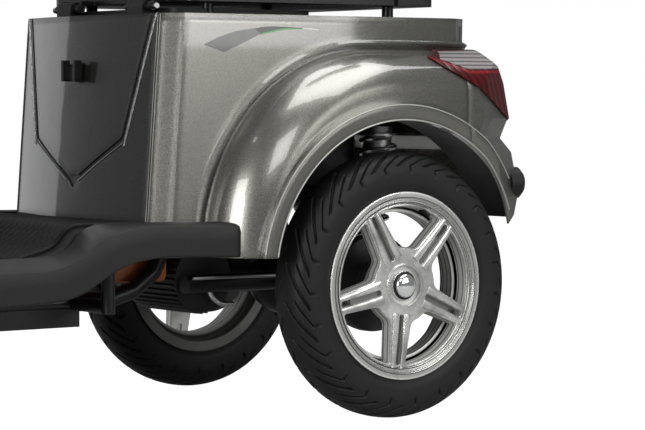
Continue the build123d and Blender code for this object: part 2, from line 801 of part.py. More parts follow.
# Rear axle, motor and shock absorbers
with BuildPart() as housing:
    rod((-housing_half, rear_axle_y, axle_z), (housing_half, rear_axle_y, axle_z), housing_r)
    rod((-spindle_end, rear_axle_y, axle_z), (spindle_end, rear_axle_y, axle_z), spindle_r)
    with Locations((0, rear_axle_y, axle_z)):
        Sphere(diff_r)
    for way in (1, -1):
        rod((way * rail_x, rear_axle_y, axle_z), (way * rail_x, motor_y - motor_r, axle_z), arm_r)
        with Locations((way * shock_x, shock_y, axle_z + housing_r)):
            Box(shock_plate, shock_r * 2, shock_plate * 2)
keep(housing, "axle_housing")

with BuildPart() as motor:
    rod((-motor_half, motor_y, motor_z), (motor_half, motor_y, motor_z), motor_r)
    for step in range(rib_count):
        x = -motor_half + (step + 0.5) * motor_half * 2 / rib_count
        rod((x - rib_w / 2, motor_y, motor_z), (x + rib_w / 2, motor_y, motor_z), motor_r + rib_out)
    rod((0, motor_y + motor_r, motor_z), (0, rear_axle_y, axle_z), housing_r)
    add(housing.part, mode=Mode.SUBTRACT)
keep(motor, "motor")

for way, tag in ((1, "left"), (-1, "right")):
    with BuildPart() as shock:
        low = (way * shock_x, shock_y, axle_z + housing_r + shock_plate)
        high = (way * shock_x, cross_y, cross_z - shock_plate)
        rod(low, high, shock_r)
        with Locations((way * shock_x, shock_y, low[2] - shock_r)):
            Box(shock_r * 4, shock_r * 4, shock_r * 2, mode=Mode.SUBTRACT)
        with Locations((way * shock_x, cross_y, high[2] + shock_r)):
            Box(shock_r * 4, shock_r * 4, shock_r * 2, mode=Mode.SUBTRACT)
    keep(shock, "shock_" + tag)

# Leg shield and front fairing
def bow(half, y, sag):
    # Points of a shallow bow across the width, its middle at y
    shares = [2 * i / bow_steps - 1 for i in range(bow_steps + 1)]
    return [(half * share, y - sag * share * share) for share in shares]


with BuildPart() as shield:
    for z, half, ahead, sag in shield_rows:
        y = front_axle_y + ahead
        with BuildSketch(Plane.XY.offset(z)):
            with BuildLine():
                Polyline(*bow(half, y, sag), *reversed(bow(half, y - wall, sag)), close=True)
            make_face()
    loft(ruled=True)
    add(floor.part, mode=Mode.SUBTRACT)
keep(shield, "leg_shield")


def fairing_solid(inset):
    back = front_axle_y + shield_rows[-1][2]
    with BuildPart() as solid:
        for z, half, nose in fairing_rows:
            y = front_axle_y + nose
            with BuildSketch(Plane.XY.offset(z)):
                with BuildLine():
                    Polyline(*bow(half - inset, y + inset, (y - back) / 2), (half - inset, back), (inset - half, back),
                             close=True)
                make_face()
        loft(ruled=True)
    return solid.part


with BuildPart() as shield_back:
    for z, half, ahead, sag in shield_rows:
        y = front_axle_y + ahead - wall
        with BuildSketch(Plane.XY.offset(z)):
            with BuildLine():
                Polyline(*bow(half, y, sag), (half, 0), (-half, 0), close=True)
            make_face()
    loft(ruled=True)

fairing_shell = fairing_solid(0) - fairing_solid(wall) - shield_back.part
with BuildPart() as lamp_bore:
    with Locations(Plane(origin=(0, headlamp_y, headlamp_z), z_dir=(0, 1, 0))):
        Cylinder(headlamp_r + rest_gap, headlamp_len * 2, align=(Align.CENTER, Align.CENTER, Align.CENTER))
with BuildPart() as fairing:
    add(fairing_shell - lamp_bore.part - shield.part)
keep(fairing, "front_fairing")

with BuildPart() as headlamp:
    with BuildSketch(Plane(origin=(0, headlamp_y, headlamp_z), x_dir=(0, 1, 0), z_dir=(1, 0, 0))):
        with BuildLine():
            Polyline((headlamp_len, 0), *[(-headlamp_bulge * deep, headlamp_r * wide) for deep, wide in lens_shares],
                     (headlamp_len, headlamp_r), close=True)
        make_face()
    revolve(axis=Axis((0, headlamp_y, headlamp_z), (0, 1, 0)))
keep(headlamp, "headlamp")

# Steering: fork, front fender, handlebar, grips, dash and mirrors
with BuildPart() as fork:
    with BuildSketch(steer_plane.offset(-crown_t / 2)):
        with Locations((0, -fork_offset / 2 - leg_r / 2)):
            RectangleRounded(leg_x * 2 + leg_r * 2, fork_offset + leg_r * 3, leg_r)
    extrude(amount=crown_t)
    with Locations(steer_plane.offset(crown_t / 2)):
        Cylinder(steerer_r, stem_up - crown_t / 2, align=(Align.CENTER, Align.CENTER, Align.MIN))
    for way in (1, -1):
        low = steer_plane.from_local_coords((way * leg_x, -fork_offset, -fork_drop))
        high = steer_plane.from_local_coords((way * leg_x, -fork_offset, 0))
        rod(tuple(low), tuple(high), leg_r)
        with Locations(low):
            Sphere(leg_r)
    rod((-leg_x, front_axle_y, axle_z), (leg_x, front_axle_y, axle_z), spindle_r)
keep(fork, "fork")

with BuildPart() as fender:
    with BuildSketch(side_plane(-fender_half)):
        with Locations((front_axle_y, axle_z)):
            Circle(fender_r + fender_t)
            Circle(fender_r, mode=Mode.SUBTRACT)
        with BuildLine():
            Polyline((front_axle_y, axle_z), (front_axle_y - tyre_d, axle_z + fender_low),
                     (front_axle_y - tyre_d, -tyre_d), (front_axle_y + tyre_d, -tyre_d),
                     (front_axle_y + tyre_d, axle_z - fender_low), close=True)
        make_face(mode=Mode.SUBTRACT)
    extrude(amount=fender_half * 2)
    with BuildSketch(steer_plane.offset(-crown_t / 2)):
        with Locations((0, -fork_offset / 2)):
            Rectangle(post_w, post_w)
    extrude(amount=-post_len)
    with BuildSketch(side_plane(-fender_half)):
        with Locations((front_axle_y, axle_z)):
            Circle(fender_r)
    extrude(amount=fender_half * 2, mode=Mode.SUBTRACT)
keep(fender, "front_fender")

bar_plane = steer_plane.offset(bar_up)
with BuildPart() as bar:
    with Locations(steer_plane.offset(stem_up)):
        Cylinder(steerer_r, bar_up - stem_up, align=(Align.CENTER, Align.CENTER, Align.MIN))
    clamp = [tuple(bar_plane.from_local_coords(p)) for p in (
        (-bar_half, 0, 0), (bar_half, 0, 0), (-bar_half - bar_out, grip_back, -bar_fall),
        (bar_half + bar_out, grip_back, -bar_fall))]
    rod(clamp[0], clamp[1], bar_r)
    for start, end in ((clamp[0], clamp[2]), (clamp[1], clamp[3])):
        rod(start, end, bar_r)
        with Locations(start):
            Sphere(bar_r)
keep(bar, "handlebar")

for index, tag in ((1, "left"), (0, "right")):
    start, end = Vector(*clamp[index]), Vector(*clamp[index + 2])
    along = (end - start).normalized()
    with BuildPart() as grip:
        with Locations(Plane(origin=end - along * grip_len, z_dir=along)):
            Cylinder(grip_r, grip_len + wall, align=(Align.CENTER, Align.CENTER, Align.MIN))
            Cylinder(bar_r + rest_gap / 2, grip_len, align=(Align.CENTER, Align.CENTER, Align.MIN), mode=Mode.SUBTRACT)
    keep(grip, "grip_" + tag)

with BuildPart() as dash:
    with BuildSketch(bar_plane.offset(-dash_t / 2)):
        with Locations((0, -dash_long * 0.15)):
            RectangleRounded(dash_w, dash_long, dash_round)
    extrude(amount=dash_t, taper=dash_taper)
    add(bar.part, mode=Mode.SUBTRACT)
keep(dash, "dash")

for way, tag in ((1, "left"), (-1, "right")):
    foot = bar_plane.from_local_coords((way * mirror_foot_x, 0, bar_r - mirror_sink))
    bend = bar_plane.from_local_coords((way * mirror_x, -mirror_ahead, mirror_up))
    with BuildPart() as mirror_piece:
        with Locations(Plane(origin=bend, x_dir=(1, 0, 0), z_dir=(0, -1, 0))):
            Cylinder(mirror_r, mirror_t)
        chamfer(mirror_piece.edges().filter_by(GeomType.CIRCLE), mirror_t * 0.3)
        rod(tuple(foot), tuple(bend), mirror_stem_r)
        add(bar.part, mode=Mode.SUBTRACT)
    keep(mirror_piece, "mirror_" + tag)

# Seat with its hinge, backrest and armrests
with BuildPart() as hinge_block:
    for way in (1, -1):
        with Locations((way * hinge_x, hinge_y, body_top)):
            Box(hinge_w, hinge_r * 2, hinge_z - body_top, align=(Align.CENTER, Align.CENTER, Align.MIN))
        rod((way * hinge_x - hinge_w / 2, hinge_y, hinge_z), (way * hinge_x + hinge_w / 2, hinge_y, hinge_z), hinge_r)
        rod((way * hinge_x - hinge_w / 2 - hinge_arm, hinge_y, hinge_z),
            (way * hinge_x + hinge_w / 2 + hinge_arm, hinge_y, hinge_z), hinge_pin_r)
keep(hinge_block, "seat_hinge_block")

with BuildPart() as seat:
    with BuildSketch(Plane.XY.offset(seat_z)):
        with Locations((0, sum(seat_y) / 2)):
            RectangleRounded(seat_half * 2, seat_y[1] - seat_y[0], seat_round)
    extrude(amount=seat_t)
    for way in (1, -1):
        for turn in (1, -1):
            x = way * hinge_x + turn * (hinge_w / 2 + hinge_arm / 2 + hinge_side / 2)
            arm_half = (hinge_arm - hinge_side) / 2
            rod((x - arm_half, hinge_y, hinge_z), (x + arm_half, hinge_y, hinge_z), hinge_eye_r)
            with Locations((x, (hinge_y + seat_y[0] + seat_round) / 2, seat_z + hinge_eye_r / 2)):
                Box(arm_half * 2, seat_y[0] + seat_round - hinge_y, hinge_eye_r)
        for y in foot_y:
            with Locations((way * foot_x, y, body_top + rest_gap)):
                Cylinder(foot_r, seat_z - body_top, align=(Align.CENTER, Align.CENTER, Align.MIN))
    with Locations((0, hinge_y, hinge_z)):
        Cylinder(hinge_pin_r + pin_play, seat_half * 2, rotation=(0, 90, 0), mode=Mode.SUBTRACT)
keep(seat, "seat_base")

brackets = []
for way, tag in ((1, "left"), (-1, "right")):
    with BuildPart() as bracket:
        with BuildSketch(side_plane(way * seat_half)):
            with BuildLine():
                Polyline((seat_y[1] - seat_round - post_w * 2, seat_z), (seat_y[1] - seat_round, seat_z),
                         (back_pivot_y + post_w / 2, back_pivot_z + post_w / 2),
                         (arm_pivot_y - post_w / 2, arm_pivot_z + post_w / 2),
                         (arm_pivot_y - post_w / 2, arm_pivot_z - post_w), close=True)
            make_face()
        extrude(amount=way * bracket_t)
        rod((way * (back_half - post_w), back_pivot_y, back_pivot_z),
            (way * (seat_half + bracket_t * 2), back_pivot_y, back_pivot_z), hinge_pin_r)
        rod((way * seat_half, arm_pivot_y, arm_pivot_z), (way * arm_x, arm_pivot_y, arm_pivot_z), hinge_pin_r)
    keep(bracket, "seat_bracket_" + tag)
    brackets.append(bracket.part)

with BuildPart() as cushion:
    with BuildSketch(Plane.XY.offset(seat_z + seat_t)):
        with Locations((0, sum(cushion_y) / 2)):
            RectangleRounded(cushion_half * 2, cushion_y[1] - cushion_y[0], seat_round * 1.5)
    extrude(amount=cushion_h)
    fillet(cushion.edges().group_by(Axis.Z)[-1], cushion_round)
    add(brackets, mode=Mode.SUBTRACT)
keep(cushion, "seat_cushion")

with BuildPart() as back:
    with BuildSketch(side_plane(-back_half)):
        with BuildLine():
            Polyline((back_y[1] - back_t, back_z[0]), (back_y[1], back_z[0]), (back_y[1] + back_lean, back_z[1]),
                     (back_y[1] + back_lean - back_t, back_z[1]), close=True)
        make_face()
    extrude(amount=back_half * 2)
    rod((-back_half, back_pivot_y, back_pivot_z), (back_half, back_pivot_y, back_pivot_z), hinge_r)
    with Locations((0, back_pivot_y, back_pivot_z)):
        Cylinder(hinge_pin_r + pin_play, seat_half * 3, rotation=(0, 90, 0), mode=Mode.SUBTRACT)
keep(back, "backrest_frame")

with BuildPart() as pad:
    with BuildSketch(side_plane(-back_half)):
        with BuildLine():
            Polyline((back_y[0], back_z[0]), (back_y[1] - back_t, back_z[0]),
                     (back_y[1] - back_t + back_lean, back_z[1]), (back_y[0] + back_lean, back_z[1]), close=True)
        make_face()
    extrude(amount=back_half * 2)
    fillet(pad.edges().group_by(Axis.Z)[-1].filter_by(Axis.Y, reverse=False), cushion_round)
keep(pad, "backrest_pad")

for way, tag in ((1, "left"), (-1, "right")):
    with BuildPart() as arm:
        with Locations((way * arm_x, arm_pivot_y - arm_len / 2, arm_pivot_z)):
            Box(arm_w, arm_len, arm_h)
        fillet(arm.edges().filter_by(Axis.Z), arm_w * 0.3)
        rod((way * (arm_x - arm_w / 2), arm_pivot_y, arm_pivot_z), (way * (arm_x + arm_w / 2), arm_pivot_y, arm_pivot_z),
            arm_h / 2)
        with Locations((0, arm_pivot_y, arm_pivot_z)):
            Cylinder(hinge_pin_r + pin_play, seat_half * 4, rotation=(0, 90, 0), mode=Mode.SUBTRACT)
    keep(arm, "armrest_" + tag)
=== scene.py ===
import math
import bmesh
import bpy
import numpy as np
from bpy.props import FloatProperty, FloatVectorProperty, IntProperty, PointerProperty
from mathutils import Matrix, Vector


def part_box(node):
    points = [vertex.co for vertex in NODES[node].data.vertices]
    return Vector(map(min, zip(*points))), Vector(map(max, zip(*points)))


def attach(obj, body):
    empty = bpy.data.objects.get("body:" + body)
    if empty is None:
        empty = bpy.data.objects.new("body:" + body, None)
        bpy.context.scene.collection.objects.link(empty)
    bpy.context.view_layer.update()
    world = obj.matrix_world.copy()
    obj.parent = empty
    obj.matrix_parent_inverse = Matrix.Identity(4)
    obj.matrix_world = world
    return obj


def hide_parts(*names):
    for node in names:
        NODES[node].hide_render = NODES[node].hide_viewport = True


bl_info = {
    "name": "Electric Three-Wheeler Dressing",
    "version": (1, 0, 0),
    "blender": (4, 5, 0),
    "location": "View3D > Sidebar > Trike",
    "description": "Dresses the packed three-wheeler with paint, tread, lamps and upholstery",
    "category": "Object",
}

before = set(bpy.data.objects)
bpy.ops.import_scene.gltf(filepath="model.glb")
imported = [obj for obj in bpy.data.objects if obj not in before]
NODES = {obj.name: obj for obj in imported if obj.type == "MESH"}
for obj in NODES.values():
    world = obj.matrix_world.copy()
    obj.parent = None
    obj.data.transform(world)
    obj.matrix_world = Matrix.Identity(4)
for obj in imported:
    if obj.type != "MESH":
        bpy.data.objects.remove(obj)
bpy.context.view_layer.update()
IMAGE_W = 645
SIDES = (("left", 1), ("right", -1))
WHEELS = {"front": ("wheel_front", 1), "left": ("wheel_left", 1), "right": ("wheel_right", -1)}
ARCH_Y, ARCH_Z = 0.560, 0.215
LIP_RADIUS = 0.262
SPOKES = 5
SENSOR = 36.0
FLOOR_GLOW = 1.32
FLOOR_GLOW_SHARE = 0.76


def centre(node):
    """Middle of a node's box."""
    low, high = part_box(node)
    return (Vector(low) + Vector(high)) / 2


def half_size(node):
    """Half of a node's box along x, y and z."""
    low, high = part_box(node)
    return (Vector(high) - Vector(low)) / 2


def add_object(name, data):
    """A new object in the scene."""
    thing = bpy.data.objects.new(name, data)
    bpy.context.scene.collection.objects.link(thing)
    return thing


# Settings

def number(name, about, value, **more):
    """A setting with a decimal number."""
    return FloatProperty(name=name, description=about, default=value, **more)


def metres(name, about, value):
    """A setting in metres."""
    return number(name, about, value, unit="LENGTH")


def whole(name, about, value, least):
    """A setting with a whole number."""
    return IntProperty(name=name, description=about, default=value, min=least)


def colour_of(name, about, *value):
    """A colour setting."""
    return FloatVectorProperty(name=name, description=about, default=value, subtype="COLOR")


class TrikeStage(bpy.types.PropertyGroup):
    focal_px: number("Focal length", "Focal length in image pixels", 2661.4)
    azimuth: number("Azimuth", "Camera direction round the vertical", math.radians(53.6746), subtype="ANGLE")
    elevation: number("Elevation", "Camera height angle", math.radians(2.5749), subtype="ANGLE")
    place: FloatVectorProperty(name="Camera place", description="Camera position",
                               default=(3.47883, -1.92295, 0.49104), subtype="TRANSLATION")
    floor_size: metres("Floor size", "Side of the floor", 60.0)
    floor_tone: number("Floor tone", "Grey of the floor", 0.42)
    key_power: number("Key power", "Power of the overhead softbox", 132.0, subtype="POWER")
    side_power: number("Side power", "Power of the side softbox", 60.0, subtype="POWER")
    sky: number("Sky", "Strength of the even light", 0.16)
    mirrored: number("Mirrored", "Share of the white background that gloss shows", 0.10)


class TrikePaint(bpy.types.PropertyGroup):
    body: colour_of("Body paint", "Colour of the flake paint", 0.190, 0.187, 0.167)
    panel: colour_of("Dark paint", "Colour of the dark gloss panels", 0.020, 0.019, 0.018)
    plastic: colour_of("Black plastic", "Colour of the grained plastic", 0.008, 0.008, 0.008)
    rubber: colour_of("Rubber", "Colour of tyres and mat", 0.009, 0.009, 0.009)
    alloy: colour_of("Alloy", "Colour of the wheels", 0.43, 0.43, 0.415)
    red: colour_of("Red lens", "Colour of the tail lamps", 0.085, 0.002, 0.004)
    frame_black: colour_of("Frame black", "Colour of the chassis paint", 0.007, 0.007, 0.007)


class TrikeTyre(bpy.types.PropertyGroup):
    around: whole("Steps around", "Points round the tyre", 760, 24)
    across: whole("Steps across", "Points across the tyre's section", 128, 12)
    grooves: whole("Grooves", "Grooves on each half of the tread", 23, 1)
    sweep: number("Sweep", "How far a groove runs on up to the shoulder, in grooves", 1.35)
    depth: metres("Depth", "Depth of the tread", 0.0045)


class TrikeSpoke(bpy.types.PropertyGroup):
    first: number("First spoke", "Angle of the first spoke from straight up, in degrees", -29.7)
    start: metres("Start", "Distance of a ridge's start from the axle", 0.043)
    end: metres("End", "Distance of a ridge's end from the axle", 0.1255)
    width_hub: metres("Width at hub", "Width of a spoke at its start", 0.040)
    width_rim: metres("Width at rim", "Width of a spoke at its end", 0.0275)
    channel: metres("Channel", "Width between the two ridges", 0.0100)
    step: metres("Step", "Ledge beside each ridge", 0.0022)
    rise: metres("Rise", "Height of the ridges over the face", 0.0032)
    face: metres("Face", "Distance of the face from the wheel's middle", 0.0330)


class TrikeFloor(bpy.types.PropertyGroup):
    skirt_width: metres("Skirt width", "Width of the skirt's top", 0.044)
    corner: metres("Corner", "Radius of the skirt's upper edges", 0.007)
    blunt: metres("Blunt", "Radius of the skirt's rear end", 0.016)


class TrikeTrim(bpy.types.PropertyGroup):
    film: metres("Film", "Thickness of the side stripes", 0.0006)
    film_x: metres("Film place", "Distance of the side stripes from the middle", 0.2152)


# Shader maths

def feed(tree, slot, value):
    """Gives a socket its link or its constant. A colour of three numbers gets its alpha."""
    if isinstance(value, Wire):
        tree.links.new(value.socket, slot)
    elif slot.type == "RGBA" and len(value) == 3:
        slot.default_value = (*value, 1)
    else:
        slot.default_value = value


def add_node(tree, kind, settings=None, inputs=None, output=0):
    """Any node: its settings first, then the values or links of its sockets."""
    item = tree.nodes.new(kind)
    for key, value in (settings or {}).items():
        setattr(item, key, value)
    for key, value in (inputs or {}).items():
        feed(tree, item.inputs[key], value)
    return Wire(tree, item.outputs[output])


class Wire:
    """A shader value. Arithmetic on it adds the Math nodes it needs."""

    def __init__(self, tree, socket):
        self.tree, self.socket = tree, socket

    def _math(self, operation, *values):
        return add_node(self.tree, "ShaderNodeMath", {"operation": operation}, dict(enumerate(values)))

    def __add__(self, other): return self._math("ADD", self, other)
    def __radd__(self, other): return self._math("ADD", other, self)
    def __sub__(self, other): return self._math("SUBTRACT", self, other)
    def __rsub__(self, other): return self._math("SUBTRACT", other, self)
    def __mul__(self, other): return self._math("MULTIPLY", self, other)
    def __rmul__(self, other): return self._math("MULTIPLY", other, self)
    def __pow__(self, other): return self._math("POWER", self, other)
    def __gt__(self, other): return self._math("GREATER_THAN", self, other)
    def __lt__(self, other): return self._math("LESS_THAN", self, other)
    def sin(self): return self._math("SINE", self)
    def abs(self): return self._math("ABSOLUTE", self)
    def fract(self): return self._math("FRACT", self)
    def max(self, other): return self._math("MAXIMUM", self, other)
    def min(self, other): return self._math("MINIMUM", self, other)

    def ramp(self, low, high):
        """0 below low, 1 above high and smooth between."""
        return add_node(self.tree, "ShaderNodeMapRange", {"interpolation_type": "SMOOTHSTEP"},
                        {"Value": self, "From Min": low, "From Max": high}, "Result")


class Finish:
    """A material under construction."""

    def __init__(self, name):
        self.material = bpy.data.materials.new(name)
        self.material.use_nodes = True
        self.tree = self.material.node_tree
        self.shader = next(n for n in self.tree.nodes if n.type == "BSDF_PRINCIPLED")

    def node(self, *parts, **more):
        return add_node(self.tree, *parts, **more)

    def place(self):
        return self.node("ShaderNodeTexCoord", output="Object")

    def axes(self):
        """The three object coordinates, each on its own."""
        split = self.node("ShaderNodeSeparateXYZ", None, {0: self.place()})
        return [Wire(self.tree, out) for out in split.socket.node.outputs]

    def noise(self, scale, detail=3.0, rough=0.5):
        return self.node("ShaderNodeTexNoise", None,
                         {"Vector": self.place(), "Scale": scale, "Detail": detail, "Roughness": rough})

    def cells(self, scale, output="Distance"):
        return self.node("ShaderNodeTexVoronoi", None, {"Vector": self.place(), "Scale": scale}, output)

    def mix(self, share, first, second):
        """First colour where share is 0 and second where it is 1."""
        return self.node("ShaderNodeMix", {"data_type": "RGBA"}, {0: share, 6: first, 7: second}, 2)

    def bump(self, height, distance, under=None):
        inputs = {"Height": height, "Distance": distance}
        if under:
            inputs["Normal"] = under
        return self.node("ShaderNodeBump", None, inputs)

    def soft_edge(self, radius):
        """Normal that rounds sharp edges off by a radius."""
        return self.node("ShaderNodeBevel", {"samples": 6}, {"Radius": radius}, "Normal")

    def set(self, **values):
        for key, value in values.items():
            feed(self.tree, self.shader.inputs[key.replace("_", " ")], value)


def shade(colour, factor):
    """The same colour, lighter or darker."""
    return tuple(min(1.0, c * factor) for c in colour)


def flake_paint(name, colour, glow=1.7, metallic=0.85):
    """Metallic paint: tiny bright flakes under a clear coat with faint orange peel, and painted shade, nearly black,
    inside the body shell below the deck. Its normal leans by parabolas at the top edge and towards the rear, and by a
    straight slope on the arch's lip."""
    f = Finish(name)
    flakes = f.cells(2600.0, "Color")
    spark = f.node("ShaderNodeSeparateColor", None, {"Color": flakes}).ramp(0.55, 1.0)
    cloud = f.noise(3.0, 2.0).ramp(0.3, 0.7)
    base = f.mix(spark * 0.55, shade(colour, 0.86), shade(colour, glow))
    base = f.mix(cloud * 0.12, base, shade(colour, 0.8))
    x, y, z = f.axes()
    # painted shade: inside the body shell, below the deck, the paint is darkened to nearly black
    inside = (x.abs() < 0.206) * (y > 0.30) * (y < 0.77) * (z < 0.600)
    base = f.mix(inside, base, shade(colour, 0.06))
    peel = f.noise(420.0, 2.0)
    brow = ((z - 0.598).max(0.0) ** 2.0) * (y > 0.166) * -34.0
    turn = ((y - 0.50).max(0.0) ** 2.0) * -0.60
    out = ((y - ARCH_Y) ** 2.0 + (z - ARCH_Z) ** 2.0) ** 0.5
    lip = (out - LIP_RADIUS).min(0.0) * (x.abs() > 0.3055) * 0.30
    lean = f.bump(brow + turn + lip, 1.0, f.soft_edge(0.015))
    f.set(Base_Color=base, Metallic=metallic, Roughness=0.27 + 0.10 * spark, Normal=f.bump(peel, 0.00004, lean),
          Coat_Weight=1.0, Coat_Roughness=0.04)
    return f.material


def grained_plastic(name, colour, roughness=0.48, grain=900.0, depth=0.00012):
    """Moulded black plastic: a fine leathery grain with rubbed, shinier patches."""
    f = Finish(name)
    pits = f.cells(grain, "Distance")
    wear = f.noise(9.0, 5.0, 0.6).ramp(0.42, 0.72)
    dust = f.noise(40.0, 4.0, 0.65).ramp(0.5, 0.8)
    base = f.mix(dust * 0.35, colour, shade(colour, 2.3))
    f.set(Base_Color=base, Roughness=roughness - 0.12 * wear + 0.08 * dust,
          Normal=f.bump(pits, depth, f.soft_edge(0.002)), Specular_IOR_Level=0.26)
    return f.material


def satin_metal(name, colour, roughness=0.3, metallic=1.0, grain=120.0, scratch=0.00003):
    """Bare metal: cloudy roughness and a fine scratched grain."""
    f = Finish(name)
    cloud = f.noise(14.0, 4.0).ramp(0.3, 0.75)
    fine = f.noise(grain, 6.0, 0.7)
    base = f.mix(cloud * 0.35, colour, shade(colour, 0.72))
    f.set(Base_Color=base, Metallic=metallic, Roughness=roughness + 0.12 * cloud,
          Normal=f.bump(fine, scratch, f.soft_edge(0.001)))
    return f.material


def cast_wheel(name, colour, middle):
    """Wheel alloy: polished spokes, a stepped rim ring in bands of distance from the axle with painted shade in its
    two grooves and a painted highlight on its outer edge, a cloudy silver barrel with painted light and dark bands
    for its steps and painted shade deep inside.
    """
    f = Finish(name)
    x, y, z = f.axes()
    along = x.abs() - abs(middle[0])
    out = ((y - middle[1]) ** 2.0 + (z - middle[2]) ** 2.0) ** 0.5
    face = along.ramp(0.0300, 0.0318)
    cloud = f.noise(16.0, 5.0, 0.6).ramp(0.32, 0.72)
    # painted shade: the barrel darkens to nearly black deep inside the wheel
    inner = (-0.017 - along).ramp(0.0, 0.004) * 0.85
    # painted light and shade: bright and dark bands round the barrel stand in for its lit and shaded steps
    painted_step_bands = (along * 330.0 + 0.9).sin().abs().ramp(0.15, 0.6)
    silver = f.mix(painted_step_bands * 0.8, shade(colour, 0.40), shade(colour, 2.0))
    low = f.mix(inner, f.mix(cloud * 0.25, silver, shade(colour, 0.7)), shade(colour, 0.06))
    high = f.mix(cloud * 0.85, shade(colour, 1.75), shade(colour, 0.5))
    # painted shade in the two grooves of the rim ring
    grooves = (out > 0.1255) * (out < 0.1272) + (out > 0.1335) * (out < 0.1350)
    ring = f.mix(grooves, shade(colour, 1.1), shade(colour, 0.16))
    # painted highlight: a bright line on the rim ring's outer edge
    ring = f.mix(out.ramp(0.1395, 0.1402), ring, shade(colour, 1.7))
    high = f.mix(out.ramp(0.1235, 0.1240), high, ring)
    f.set(Base_Color=f.mix(face, low, high), Metallic=0.66 + 0.20 * face,
          Roughness=0.40 - 0.18 * face + 0.12 * cloud, Normal=f.bump(f.noise(11.0, 0.5), 0.004, f.soft_edge(0.0022)))
    return f.material


def enamel(name, colour, roughness=0.3):
    """Chassis enamel: slightly rippled, with dust in patches."""
    f = Finish(name)
    dust = f.noise(22.0, 5.0, 0.65).ramp(0.45, 0.8)
    ripple = f.noise(160.0, 2.0)
    f.set(Base_Color=f.mix(dust * 0.5, colour, shade(colour, 2.4)), Roughness=roughness + 0.3 * dust,
          Normal=f.bump(ripple, 0.00008, f.soft_edge(0.0015)), Specular_IOR_Level=0.3)
    return f.material


def rubber(name, colour):
    """Tyre rubber: dull, with pale dust in soft patches and a fine skin."""
    f = Finish(name)
    dust = f.noise(30.0, 6.0, 0.7).ramp(0.45, 0.85)
    skin = f.noise(700.0, 3.0)
    f.set(Base_Color=f.mix(dust * 0.4, colour, shade(colour, 2.2)), Roughness=0.50 + 0.2 * dust,
          Normal=f.bump(skin, 0.0001, f.soft_edge(0.001)), Specular_IOR_Level=0.22)
    return f.material


def lens(name, colour, clear):
    """Lamp plastic: a clear band with level ribs between straight lines, deep red round it, slanted ribs below."""
    f = Finish(name)
    _, y, z = f.axes()
    under = (y - 0.652) * -0.36 + 0.549
    under = under.max(0.5315 + (y - 0.742) * 0.02)
    over = (0.5600 + (y - 0.672) * 0.02).min(0.5625 - (y - 0.765) * 0.42).min(0.549 + (y - 0.660) * 0.8)
    band = (z - under).ramp(0.0, 0.0012) * (over - z).ramp(0.0, 0.0012)
    level = (z * 520.0).sin().abs() * 0.85 + (y * 900.0).sin().abs() * 0.15
    slant = ((y + 0.32 * z) * 230.0).sin().abs()
    edge = (under - z - 0.004).abs() < 0.0022
    wedge = f.mix(slant.ramp(0.2, 1.0) * 0.6 * ((under - z) > 0.006), shade(colour, 0.35), shade(colour, 1.0))
    wedge = f.mix(edge, wedge, shade(colour, 1.8))
    glass = f.mix(level.ramp(0.1, 0.8), shade(clear, 0.10), shade(clear, 0.5))
    relief = level * band + slant * (1 - band) * 0.6
    f.set(Base_Color=f.mix(band, wedge, glass), Roughness=0.16 + 0.10 * slant, Normal=f.bump(relief, 0.0006),
          Coat_Weight=0.12, Coat_Roughness=0.02, Specular_IOR_Level=0.25)
    return f.material


def film(name, colour):
    """Printed film: one colour, very slightly uneven, under the body's clear coat."""
    f = Finish(name)
    uneven = f.noise(60.0, 2.0).ramp(0.3, 0.7)
    f.set(Base_Color=f.mix(uneven * 0.3, colour, shade(colour, 0.85)), Roughness=0.32 + 0.05 * uneven,
          Coat_Weight=0.6, Coat_Roughness=0.05)
    return f.material


def glass_face(name, colour):
    """Headlamp cover: a bright reflector of fine squares behind a clear coat."""
    f = Finish(name)
    x, _, z = f.axes()
    prism = ((x * 420.0).sin() * (z * 420.0).sin()).abs()
    f.set(Base_Color=f.mix(prism * 0.6, colour, shade(colour, 0.45)), Metallic=0.7, Roughness=0.10 + 0.08 * prism,
          Normal=f.bump(prism, 0.0003), Coat_Weight=1.0, Coat_Roughness=0.02)
    return f.material


def hide(name, colour):
    """Seat vinyl: a pebbled grain that is shinier on its crests."""
    f = Finish(name)
    pebble = f.cells(520.0, "Distance")
    wear = f.noise(7.0, 4.0).ramp(0.4, 0.7)
    f.set(Base_Color=f.mix(wear * 0.4, colour, shade(colour, 1.7)), Roughness=0.42 + 0.14 * pebble,
          Normal=f.bump(pebble, 0.00035))
    return f.material


def mat_rubber(name, colour):
    """Floor mat: rows of raised diamonds, from two crossed triangle waves, inside a plain border."""
    f = Finish(name)
    x, y, _ = f.axes()
    first = ((x + y) * 62.0).fract() - 0.5
    second = ((x - y) * 62.0).fract() - 0.5
    stud = (0.5 - first.abs()).min(0.5 - second.abs()).ramp(0.10, 0.20)
    inside = (0.150 - x.abs()).ramp(0.0, 0.003)
    f.set(Base_Color=f.mix(stud * inside * 0.35, shade(colour, 0.6), shade(colour, 1.3)), Roughness=0.6 - 0.1 * stud,
          Normal=f.bump(stud * inside, 0.0016), Specular_IOR_Level=0.12)
    return f.material


FINISHES = {}


